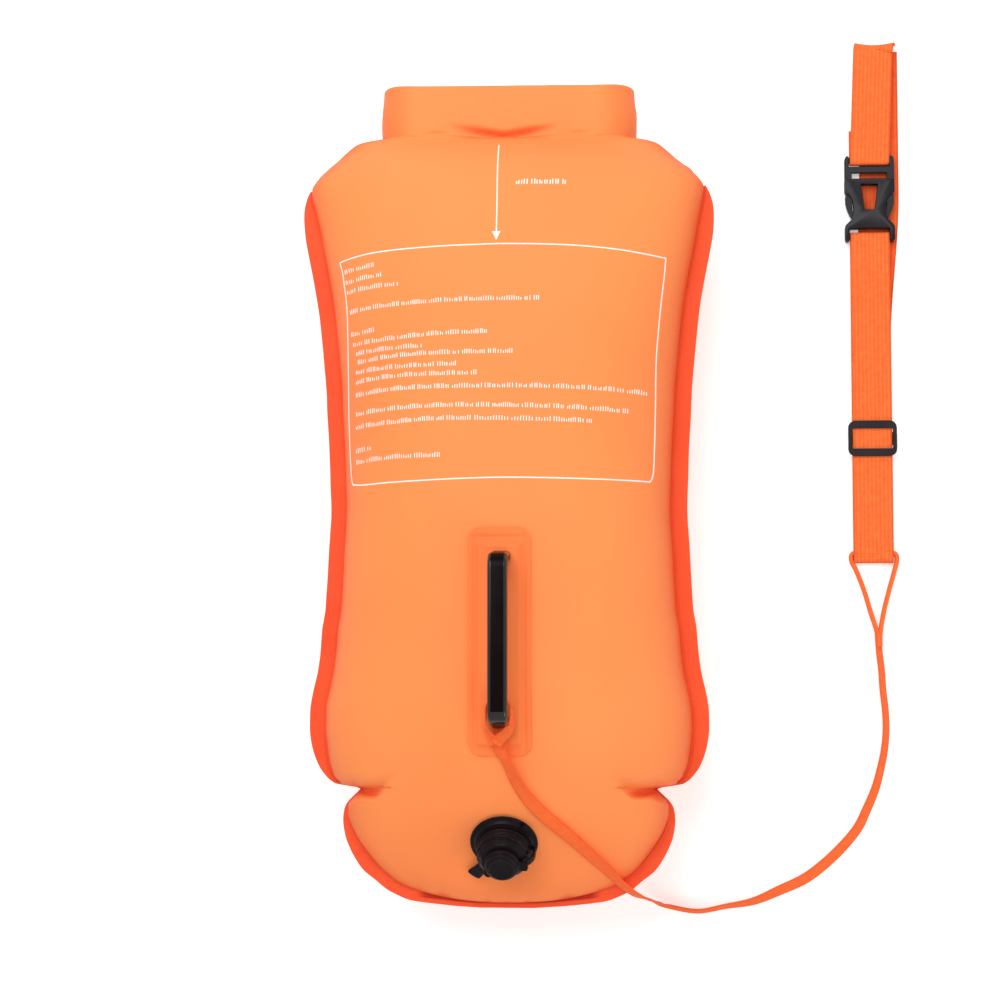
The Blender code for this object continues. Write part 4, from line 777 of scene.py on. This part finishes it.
# Painted shade on the roll: a deeper red in the tuck along its lower edge and towards its bent ends.
painted_shade = []
for vertex in collar.data.vertices:
    x, y, z = vertex.co * 1000
    valley = 278.2 + 5.5 * min(abs(x + 2.0) / 34.0, 1.5)
    fold = 0.9 * hump(x + 2.0, 34.0, 4) * hump(y - valley, 2.4) * ease(70.0, 80.0, z)
    painted_shade.append(max(fold, 0.40 * ease(66.0, 97.0, abs(x))))
mark_points(collar, "painted_shade", painted_shade)
stand_for(collar, "roll_top")


# Neck of the dry pouch: two walls of the same coated fabric that come out between the chambers,
# gather towards the roll and go into it. The rest of the pouch lies hidden between the chambers.

def thicken(piece, thickness, offset, smooth):
    """Give a sheet its thickness."""
    wall = piece.modifiers.new("wall", "SOLIDIFY")
    wall.thickness = thickness
    wall.offset = offset
    bpy.ops.object.modifier_apply(modifier="wall")
    bpy.ops.object.shade_smooth_by_angle(angle=math.radians(smooth))


points = []
columns = 121
levels = [-296.0, -280.0, -240.0, -221.0, -200.0, -150.0, -100.0, -50.0, 0.0, 50.0, 100.0, 150.0, 190.0, 215.0, 230.0]
levels += [240.0 + (279.5 - 240.0) * k / 20 for k in range(21)]
for y in levels:
    turn_share = ease(252.5, 274.2, y)
    half = panel_half(y) - 0.3 - 6.5 * ease(252.0, 236.0, y)
    gathered = 0.9 * ease(246.0, 258.0, y) * (1 - 0.75 * ease(262.0, 275.0, y))
    for k in range(columns):
        share = k / (columns - 1)
        rolled_x, rolled_z, out_x, out_z = roll_point(share)
        flat_x = (share - 0.5) * 2 * half
        x = flat_x + turn_share * (rolled_x - flat_x)
        z = seam_z + turn_share * (rolled_z - seam_z)
        z += gathered * math.sin(share * math.pi * 26 + 2.0 * noise.noise(Vector((share * 5, 0, 1))))
        points.append(Vector((x, y, z)) / 1000)
faces = []
for row in range(len(levels) - 1):
    for k in range(row * columns, row * columns + columns - 1):
        faces.append((k, k + 1, k + 1 + columns, k + columns))
pouch = new_piece("dry_pouch_neck", points, faces, bag_fabric)
thicken(pouch, 0.0018, 0.0, 50)
stand_for(pouch, "dry_pouch")


# Printed marks: white ink on the front panel. A thin frame, an arrow towards it, and rows of
# plain upright strokes where the real bag has its small print.

def ink_finish(name):
    """Screen-printed ink, worn thin in places."""
    finish, tree, shader = start_finish(name, 0.6, 0.3)
    wear = speckle(tree, 900.0, 2.0)
    colour = two_tones(tree, maths(tree, "MULTIPLY", wear, 1.6), (0.98, 0.66, 0.50), (1.0, 0.97, 0.94))
    set_surface(tree, shader, colour, wear, 0.2, 0.0001, mixed(tree, (wear, 0.2), (0.5, 1.0)))
    return finish


def skin_point(x, y, lift):
    """Point on the front panel, lifted off it, in metres."""
    return Vector((x, y, seam_z + wall_gap + panel_height(x, y, front_rise) + lift)) / 1000


print_faces = []
print_corners = []


def ink_strip(points, widths):
    """Printed line along x, y points in millimetres, as a thin closed strip on the fabric."""
    start = len(print_corners)
    for index, (x, y) in enumerate(points):
        before = Vector(points[max(index - 1, 0)])
        after = Vector(points[min(index + 1, len(points) - 1)])
        across = (after - before).normalized() * widths[index] / 2
        for side, lift in ((1, 0.16), (-1, 0.16), (-1, 0.0), (1, 0.0)):
            print_corners.append(skin_point(x - across.y * side, y + across.x * side, lift))
    print_faces.append((start, start + 1, start + 2, start + 3))
    for here in range(start, start + 4 * (len(points) - 1), 4):
        for k in range(4):
            after = (k + 1) % 4
            print_faces.append((here + k, here + 4 + k, here + 4 + after, here + after))
    last = len(print_corners) - 4
    print_faces.append((last + 3, last + 2, last + 1, last))


def spread(points, step):
    """Points about one step apart along the smooth curve through the given ones."""
    length = sum(math.dist(start, end) for start, end in zip(points, points[1:]))
    return smooth_route(points, max(int(length / step), 2) + 1)


def ink_line(points, width):
    run = spread(points, 2.5)
    ink_strip(run, [width] * len(run))


def stroke_row(points, tall, width, pitch, seed):
    """Upright strokes in groups along a row, some of them taller, like the rhythm of small print."""
    run = spread(points, 0.5)
    travel = 0.0
    due = 0.0
    stroke = 0
    group = 0
    left = 5
    for before, here in zip(run, run[1:]):
        travel += math.dist(before, here)
        if travel < due:
            continue
        ahead = Vector((here[0] - before[0], here[1] - before[1])).normalized()
        beat = abs(math.sin(12.9 * stroke + 4.1 * seed))
        high = tall * (1.30 if beat > 0.78 else 1.0 if beat > 0.16 else 0.72)
        ends = [(here[0] - ahead.y * v, here[1] + ahead.x * v) for v in (-tall / 2, high - tall / 2)]
        ink_strip(ends, [width, width])
        stroke += 1
        left -= 1
        due = travel + pitch * (0.92 if stroke % 2 else 1.08)
        if left == 0:
            group += 1
            left = 3 + int(11 * abs(math.sin(2.3 * group + 1.7 * seed)))
            due = travel + pitch * 1.9


line_width, side_width = 0.95, 0.85
ink_line([
    (-125.0, 175.4), (-109.5, 177.6), (-92.1, 179.2), (-53.4, 180.7), (-23.4, 181.4), (-1.1, 181.8),
    (28.6, 181.2), (58.0, 180.0), (87.3, 177.9), (109.2, 175.6), (121.4, 174.6),
], line_width)
ink_line([
    (121.4, 174.6), (120.2, 162.1), (117.1, 135.4), (113.9, 98.4), (113.0, 60.3), (112.1, 30.4),
    (111.2, 13.0), (109.0, 6.2),
], side_width)
ink_line([
    (109.0, 6.2), (86.8, 5.8), (58.1, 5.9), (29.2, 6.3), (0.1, 6.6), (-29.3, 6.1), (-59.3, 5.3),
    (-82.6, 5.0), (-103.5, 4.9), (-113.7, 6.3),
], line_width)
ink_line([
    (-113.7, 6.3), (-115.7, 14.0), (-117.5, 48.4), (-118.0, 93.5), (-118.6, 135.6), (-121.2, 158.0),
    (-122.8, 168.0), (-125.0, 175.4),
], side_width)
ink_line([(-5.6, 268.1), (-4.4, 242.0), (-3.6, 216.4), (-3.5, 190.0)], line_width)
arrow_head = [(-3.50, 191.6 - 1.3 * k) for k in range(6)]
ink_strip(arrow_head, [6.4, 5.2, 4.0, 2.8, 1.6, 0.5])
stroke_row([(10.3, 231.3), (29.0, 231.4), (48.4, 230.9)], 3.4, 0.95, 1.65, 0)
small_print = (
    ((-120.5, 166.9), (-108.0, 168.4), (-96.2, 169.5)),
    ((-119.6, 158.8), (-105.0, 160.4), (-89.8, 161.6)),
    ((-118.5, 151.4), (-98.0, 152.8), (-76.2, 153.5)),
    ((-115.8, 135.8), (-99.6, 137.1), (-69.4, 138.2), (-27.2, 139.5), (29.7, 139.6)),
    ((-115.0, 118.7), (-94.7, 119.9)),
    ((-113.2, 110.9), (-77.7, 112.5), (-44.8, 114.3), (-8.7, 115.0)),
    ((-110.5, 103.6), (-87.1, 104.8), (-57.5, 105.4)),
    ((-108.8, 97.0), (-79.1, 98.9), (-44.6, 99.7), (9.4, 99.8)),
    ((-110.6, 89.8), (-79.1, 90.6), (-32.6, 91.1)),
    ((-110.6, 82.3), (-79.0, 83.9), (-17.0, 84.1)),
    ((-110.6, 72.5), (-78.9, 74.2), (-37.0, 74.4), (36.5, 73.7), (107.3, 71.3)),
    ((-110.6, 58.3), (-78.9, 59.7), (-36.9, 60.4), (36.5, 58.9), (94.2, 56.6)),
    ((-110.7, 48.5), (-78.8, 49.6), (-36.9, 50.7), (66.8, 48.4)),
    ((-110.7, 30.6), (-97.5, 31.8)),
    ((-110.7, 22.3), (-78.7, 23.6), (-44.2, 23.6)),
)
for number, row in enumerate(small_print):
    stroke_row(row, 2.7, 0.66, 1.42, number + 1)
marks = new_piece("printed_marks", print_corners, print_faces, ink_finish("white_ink"))
face_outwards()
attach(marks, "buoy")


# Handle patch: a rounded piece of the bag's fabric, welded down all round, with a raised middle
# that covers the handle's feet.

bpy.ops.object.select_all(action="DESELECT")
bpy.ops.mesh.primitive_grid_add(x_subdivisions=54, y_subdivisions=150, size=2)
patch = bpy.context.object
patch.name = "welded_handle_patch"
patch_half, patch_low, patch_high = 23.1, -195.5, -30.0
patch_middle = (patch_low + patch_high) / 2
corner = 9.5
for vertex in patch.data.vertices:
    x = patch_half * vertex.co.x
    y = patch_middle + (patch_high - patch_low) / 2 * vertex.co.y
    over_x = max(abs(x) - (patch_half - corner), 0.0)
    over_y = max(y - (patch_high - corner), (patch_low + corner) - y, 0.0)
    if over_x > 0 and over_y > 0:
        pull = max(over_x, over_y) / math.hypot(over_x, over_y)
        x = math.copysign(patch_half - corner + over_x * pull, x)
        over = over_y * pull
        y = (patch_high - corner + over) if y > patch_middle else (patch_low + corner - over)
    raised = ease(17.2, 14.4, abs(x)) * ease(-189.6, -186.6, y) * ease(-40.0, -43.2, y)
    groove = hump(abs(x) - 18.4, 0.8) * ease(-191.5, -189.5, y) * ease(-34.5, -36.5, y)
    groove += (hump(y + 191.6, 0.8) + hump(y + 36.4, 0.8)) * ease(20.0, 18.0, abs(x))
    vertex.co = skin_point(x, y, 1.5 + 2.5 * raised - 0.75 * min(groove, 1.0))
thicken(patch, 0.0012, -1.0, 45)
give_finish(patch, coated_finish("patch_fabric", (0.98, 0.195, 0.052), (1.0, 0.255, 0.070), 0.46, 0.3))
stand_for(patch, "handle_patch")


# Carry handle: one glossy black moulding, a flat bar with rounded edges whose two legs go down
# through the patch to flat feet under it.

def moulding_finish(name, dark, light, roughness, specular, grain_depth):
    """Moulded plastic or rubber: fine grain, faint handling marks and uneven gloss."""
    finish, tree, shader = start_finish(name, roughness, specular)
    grain, smear = speckle(tree, 1100.0, 3.0), speckle(tree, 60.0, 4.0)
    rough = mixed(tree, (smear, 0.18), (roughness - 0.09, 1.0))
    set_surface(tree, shader, two_tones(tree, smear, dark, light), grain, grain_depth, 0.0001, rough)
    return finish


def round_edges(piece, width, segments=2, limit=35, smooth=35):
    """Bevel the sharp edges of a piece."""
    pick(piece)
    edge = piece.modifiers.new("edge", "BEVEL")
    edge.width = width
    edge.segments = segments
    edge.limit_method = "ANGLE"
    edge.angle_limit = math.radians(limit)
    bpy.ops.object.modifier_apply(modifier="edge")
    bpy.ops.object.shade_smooth_by_angle(angle=math.radians(smooth))


def draw_along(x, y, z):
    bpy.ops.mesh.extrude_region_move(TRANSFORM_OT_translate={"value": (x, y, z)})


gloss_black = moulding_finish(
    "gloss_black_moulding", (0.0035, 0.0016, 0.0020), (0.0070, 0.0030, 0.0036), 0.17, 0.60, 0.04,
)
matte_black = moulding_finish(
    "plain_black_moulding", (0.0032, 0.0013, 0.0016), (0.0062, 0.0026, 0.0032), 0.30, 0.05, 0.04,
)
grip_length = 0.101
bend_z = 0.2006
upper_leg, lower_leg = (0, -0.0510, 0.1748), 0.1710
bpy.ops.object.select_all(action="DESELECT")
bpy.ops.mesh.primitive_plane_add(size=1.0, location=upper_leg)
handle = bpy.context.object
handle.name = "moulded_handle"
bpy.ops.object.mode_set(mode="EDIT")
bpy.ops.mesh.select_all(action="SELECT")
bpy.ops.transform.resize(value=(0.0142, 0.0080, 1.0), center_override=upper_leg)
draw_along(0, -0.003, bend_z - upper_leg[2])
bpy.ops.mesh.spin(steps=8, angle=math.radians(-90), center=(0, -0.0610, bend_z), axis=(1, 0, 0))
draw_along(0, -grip_length, 0)
bpy.ops.mesh.spin(steps=8, angle=math.radians(-90), center=(0, -0.0610 - grip_length, bend_z), axis=(1, 0, 0))
draw_along(0, -0.003, lower_leg - bend_z)
bpy.ops.mesh.select_all(action="SELECT")
bpy.ops.mesh.remove_doubles(threshold=0.00005)
bpy.ops.object.mode_set(mode="OBJECT")
face_outwards()
bpy.ops.object.transform_apply(location=True, rotation=True, scale=True)
round_edges(handle, 0.0024, 4, 50, 40)
give_finish(handle, matte_black, gloss_black)
for vertex in handle.data.vertices:
    vertex.co.x += 0.0013
for face in handle.data.polygons:
    rounded = sorted(abs(part) for part in face.normal)[1] > 0.12 and abs(face.normal.x) > 0.12
    lower_bend = face.normal.y < -0.25 and face.normal.z > 0.3
    face.material_index = 1 if rounded or lower_bend else 0
stand_for(handle, "carry_handle")


# Oral valves: black rubber, one for each chamber. A stepped flange is welded into the fabric, a
# fluted mouthpiece turns on its neck, and a tethered cap with two finger lugs presses on the spout.

soft_black = moulding_finish("soft_black_rubber", (0.0042, 0.0026, 0.0034), (0.012, 0.0075, 0.0095), 0.34, 0.10, 0.22)
around = 72
edge_round = 0.00022


def turned_piece(name, profile):
    """Body of revolution round its own z axis, from radius and height points in millimetres."""
    bpy.ops.object.select_all(action="DESELECT")
    bpy.ops.mesh.primitive_plane_add(size=0.01, location=(0, 0, 0))
    piece = bpy.context.object
    piece.name = name
    piece.data.name = name
    bpy.ops.object.mode_set(mode="EDIT")
    bpy.ops.mesh.select_mode(type="VERT")
    bpy.ops.mesh.select_all(action="SELECT")
    bpy.ops.mesh.merge(type="CENTER")
    bpy.ops.transform.translate(value=(profile[0][0] / 1000, 0, profile[0][1] / 1000))
    for start, end in zip(profile, profile[1:]):
        draw_along((end[0] - start[0]) / 1000, 0, (end[1] - start[1]) / 1000)
    bpy.ops.mesh.select_all(action="SELECT")
    bpy.ops.mesh.spin(steps=around, angle=2 * math.pi, center=(0, 0, 0), axis=(0, 0, 1))
    bpy.ops.mesh.select_all(action="SELECT")
    bpy.ops.mesh.remove_doubles(threshold=0.00003)
    bpy.ops.object.mode_set(mode="OBJECT")
    face_outwards()
    give_finish(piece, soft_black)
    return piece


def draw_out(piece, angle, half_angle, radius, low, high, steps):
    """Draw a lug out of a turned piece's rim, towards an angle, step by step in millimetres."""
    bpy.context.view_layer.objects.active = piece
    bpy.ops.object.mode_set(mode="EDIT")
    bpy.ops.mesh.select_mode(type="FACE")
    bpy.ops.mesh.select_all(action="DESELECT")
    work = bmesh.from_edit_mesh(piece.data)
    ahead = Vector((math.cos(math.radians(angle)), math.sin(math.radians(angle)), 0.0))
    for face in work.faces:
        centre = face.calc_center_median() * 1000
        flat = Vector((centre.x, centre.y, 0.0))
        inside = low < centre.z < high and flat.length > radius and abs(face.normal.z) < 0.3
        face.select_set(inside and flat.angle(ahead) < math.radians(half_angle))
    bmesh.update_edit_mesh(piece.data)
    travel = radius
    for reach, drop, widen in steps:
        draw_along(ahead.x * reach / 1000, ahead.y * reach / 1000, drop / 1000)
        travel += reach
        middle = ahead * travel / 1000
        bpy.ops.transform.resize(
            value=(widen, widen, 1.0), center_override=(middle.x, middle.y, (low + high) / 2000),
        )
    bpy.ops.object.mode_set(mode="OBJECT")


def finish_valve_part(piece, seat, node, body="buoy", width=edge_round):
    """Round the edges of a valve part, set it in its seat and let it stand for its node."""
    round_edges(piece, width)
    piece.matrix_world = seat
    bpy.ops.object.transform_apply(location=True, rotation=True, scale=True)
    if node:
        stand_for(piece, node, body)


base_profile = (
    (0.0, 0.1), (24.2, 0.1), (25.0, 0.5), (25.0, 1.1), (24.0, 1.6), (22.4, 1.8), (21.6, 2.6), (20.6, 4.1),
    (18.0, 4.15), (17.2, 4.15), (17.2, 6.6), (18.6, 6.9), (19.4, 7.4), (19.4, 8.4), (18.4, 9.0),
    (18.4, 10.0), (19.0, 10.4), (19.0, 11.6), (18.2, 12.2), (18.2, 12.9), (0.0, 12.9),
)
mouth_profile = (
    (0.0, 13.3), (18.6, 13.3), (19.6, 13.9), (19.6, 15.4), (18.4, 16.2), (17.4, 16.6), (17.4, 17.6), (18.2, 18.1),
    (18.2, 19.6), (16.4, 20.6), (15.4, 22.0), (9.6, 22.3),
    (8.5, 22.5), (8.5, 26.4), (8.0, 27.0), (5.6, 27.0), (5.0, 26.5), (5.0, 14.6), (0.0, 14.6),
)
cap_profile = (
    (0.0, 27.5), (8.9, 27.5), (8.9, 22.7), (12.2, 22.7), (12.85, 23.1), (12.85, 25.9), (12.3, 26.4),
    (11.7, 26.6), (11.7, 27.6), (12.1, 28.1), (11.9, 29.2), (10.9, 30.0), (9.7, 30.2), (9.5, 31.2), (8.9, 31.5),
    (8.5, 31.1), (0.0, 31.15),
)
tether_profile = ((17.4, 4.3), (19.9, 4.3), (19.9, 6.0), (17.4, 6.0), (17.4, 4.3))
side_tab = ((3.4, 0.0, 1.0), (3.0, -0.2, 1.0), (0.7, -0.2, 0.86))
pull_tab = ((4.6, 0.3, 0.90), (5.6, -0.6, 1.0), (6.2, -1.0, 1.15), (1.6, -0.1, 0.95))
arm_route = (
    (18.6, 5.2), (20.6, 5.6), (22.4, 7.2), (23.2, 10.0), (23.2, 13.6), (22.4, 17.4), (20.4, 21.0), (17.6, 23.6),
    (14.8, 24.4),
)
arm_section = ((-2.5, -0.5), (-2.3, -1.0), (2.3, -1.0), (2.5, -0.5), (2.5, 0.5), (2.3, 1.0), (-2.3, 1.0), (-2.5, 0.5))
lean_y, lean_z = 0.61532, 0.78828
for face_name, height, flip in (("front", 0.12831, 1), ("back", 0.04169, -1)):
    axis = Vector((0, -lean_y, lean_z * flip))
    upward = Vector((0, lean_z, lean_y * flip))
    seat = Matrix((upward.cross(axis), upward, axis)).transposed().to_4x4()
    seat.translation = Vector((0, -0.25904, height))

    valve_base = turned_piece(face_name + "_valve_flange", base_profile)
    finish_valve_part(valve_base, seat, face_name + "_valve_base")

    mouthpiece = turned_piece(face_name + "_twist_mouthpiece", mouth_profile)
    for vertex in mouthpiece.data.vertices:
        if math.hypot(vertex.co.x, vertex.co.y) > 0.0152:
            turn_angle = math.atan2(vertex.co.y, vertex.co.x)
            flute = 1 - 0.045 * max(math.cos(12 * turn_angle), 0.0) ** 2
            vertex.co.x *= flute
            vertex.co.y *= flute
    finish_valve_part(mouthpiece, seat, face_name + "_mouthpiece", face_name + "_mouthpiece_body")

    cap = turned_piece(face_name + "_press_cap", cap_profile)
    for lug_angle, lug in ((-8, 2.8), (218, 1.5)):
        draw_out(cap, lug_angle, 19, 12.0, 23.2, 25.8, ((lug, 0.0, 0.95), (lug, 0.0, 0.92), (1.0, 0.0, 0.72)))
    finish_valve_part(cap, seat, face_name + "_valve_cap", face_name + "_cap_body")

    tether = turned_piece(face_name + "_cap_tether_ring", tether_profile)
    draw_out(tether, 40, 13, 19.0, 4.4, 5.9, side_tab)
    draw_out(tether, 230, 13, 19.0, 4.4, 5.9, pull_tab)
    finish_valve_part(tether, seat, None, width=0.00025)
    arm_rings = []
    arm_line = smooth_route(arm_route, 49)
    for index, (reach, rise) in enumerate(arm_line):
        before = arm_line[max(index - 1, 0)]
        after = arm_line[min(index + 1, len(arm_line) - 1)]
        ahead = Vector((after[0] - before[0], after[1] - before[1])).normalized()
        half = 0.75 if index % 4 < 2 else 0.50
        ring = []
        for across, out in arm_section:
            local = Vector((reach - ahead.y * out * half, across, rise + ahead.x * out * half)) / 1000
            ring.append(seat @ local)
        arm_rings.append(ring)
    arm = lofted_piece(face_name + "_cap_tether_arm", arm_rings, soft_black, 30)
    tether.select_set(True)
    bpy.context.view_layer.objects.active = tether
    bpy.ops.object.join()
    stand_for(tether, face_name + "_cap_tether", body=None)
    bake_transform(tether)


# Webbing tabs behind the bag: the roll's two ends carry folded webbing that is sewn to the
# stiffener and loops round the bars of the closing buckle.

tab_y = 296.5
fold_radius = 2.1
tab_z = 38.0
for tab_name, node_name, far_x, bar_x in (
    ("left_tab_loop", "top_tab_left", -71.4, -36.75), ("right_tab_loop", "top_tab_right", 69.2, 24.75),
):
    inward = 1.0 if far_x < 0 else -1.0
    tab_route = [(far_x + (bar_x - far_x) * k / 10, tab_z + fold_radius) for k in range(11)]
    for k in range(1, 12):
        angle = math.pi * k / 12
        fold_x = bar_x + inward * fold_radius * math.sin(angle)
        tab_route.append((fold_x, tab_z + fold_radius * math.cos(angle)))
    tab_route += [(bar_x + (far_x - bar_x) * k / 10, tab_z - fold_radius) for k in range(11)]
    tab_line = [Vector((x, tab_y, z)) / 1000 for x, z in tab_route]
    tab_sides = [Vector((0, 1, 0))] * len(tab_line)
    tab = webbing_strap(tab_name, tab_line, tab_sides, belt_width, 0.0013, belt_webbing)
    stand_for(tab, node_name, "buoy" if far_x < 0 else None)
    if far_x > 0:
        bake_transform(tab)


# Socket of the belt's buckle: two black plates with a tapered window through both, side walls at
# the mouth that hold the plug's prongs, and two legs with the bar that the belt turns round.

buckle_black = moulding_finish("buckle_plastic", (0.0065, 0.0060, 0.0085), (0.0170, 0.0155, 0.0210), 0.32, 0.20, 0.22)
buckle_y = 241.8


def cut_plate(name, half_outline, low, high):
    """Flat plate from the right half of its outline, in millimetres round the buckle's middle."""
    points = list(half_outline) + [(-x, y) for x, y in reversed(half_outline) if x > 0]
    bpy.ops.object.select_all(action="DESELECT")
    bpy.ops.mesh.primitive_circle_add(vertices=len(points), radius=0.01, fill_type="NGON", location=(0, 0, 0))
    plate = bpy.context.object
    plate.name = name
    for vertex, (x, y) in zip(plate.data.vertices, points):
        vertex.co = Vector((belt_x + x, buckle_y + y, low)) / 1000
    bpy.ops.object.mode_set(mode="EDIT")
    bpy.ops.mesh.select_all(action="SELECT")
    draw_along(0, 0, (high - low) / 1000)
    bpy.ops.object.mode_set(mode="OBJECT")
    face_outwards()
    return plate


leg_outline = (
    (17.2, -20.2), (19.2, -22.0), (19.6, -24.0), (19.6, -33.2), (18.6, -34.5), (16.8, -34.5), (15.9, -33.4),
    (15.8, -25.2), (15.0, -24.2), (0.0, -23.8),
)
plate_outline = (
    (0.0, 12.9), (10.5, 13.0), (14.2, 13.9), (16.4, 15.0), (19.2, 15.4), (19.6, 14.2), (19.6, 4.8), (18.4, 3.4),
    (16.6, 2.4), (14.6, 0.2), (13.3, -3.0), (12.7, -7.0), (12.6, -11.0), (13.2, -14.6), (14.6, -17.4),
    (17.2, -19.8), (19.2, -21.8),
) + leg_outline[2:]
lower_outline = ((0.0, -18.9), (13.6, -18.9)) + leg_outline
bar_outline = ((0.0, -28.5), (16.2, -28.5), (16.2, -33.0), (0.0, -33.0))
window_outline = ((0.0, 11.2), (6.7, 11.2), (3.9, -9.2), (0.0, -9.2))
pieces = [cut_plate("belt_socket_plates", plate_outline, 9.2, 11.0), cut_plate("back_plate", plate_outline, 2.0, 3.8)]
for plate in pieces:
    cutter = cut_plate("window_cutter", window_outline, 0.0, 13.0)
    window = plate.modifiers.new("window", "BOOLEAN")
    window.object = cutter
    window.solver = "EXACT"
    pick(plate)
    bpy.ops.object.modifier_apply(modifier="window")
    bpy.data.objects.remove(cutter)
pieces.append(cut_plate("lower_block", lower_outline, 3.7, 9.3))
pieces.append(cut_plate("webbing_bar", bar_outline, 4.8, 8.2))
for side in (-1, 1):
    bpy.ops.object.select_all(action="DESELECT")
    bpy.ops.mesh.primitive_cube_add(size=1.0, location=(belt_x / 1000 + side * 0.0177, 0.2510, 0.0065))
    wall = bpy.context.object
    wall.name = "mouth_wall"
    wall.scale = (0.0036, 0.0104, 0.0056)
    bpy.ops.object.transform_apply(location=True, rotation=True, scale=True)
    pieces.append(wall)
socket = pieces[0]
pick(socket)
for piece in pieces:
    piece.select_set(True)
bpy.ops.object.join()
round_edges(socket, 0.0005)
give_finish(socket, buckle_black)
stand_for(socket, "belt_buckle_socket")


# Pieces that keep their own solids: the other buckle parts and the slider in hard black plastic,
# the valves' flaps in soft black rubber, the stiffener strip in pale plastic.

pale_plastic = moulding_finish("stiffener_plastic", (0.70, 0.70, 0.67), (0.82, 0.82, 0.80), 0.5, 0.4, 0.2)
for name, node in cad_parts.items():
    if "buckle" in name or "prong" in name or "slider" in name:
        finish = buckle_black
    elif "diaphragm" in name:
        finish = soft_black
    elif name == "stiffener_strip":
        finish = pale_plastic
    else:
        continue
    for material_slot in node.material_slots:
        material_slot.material = finish
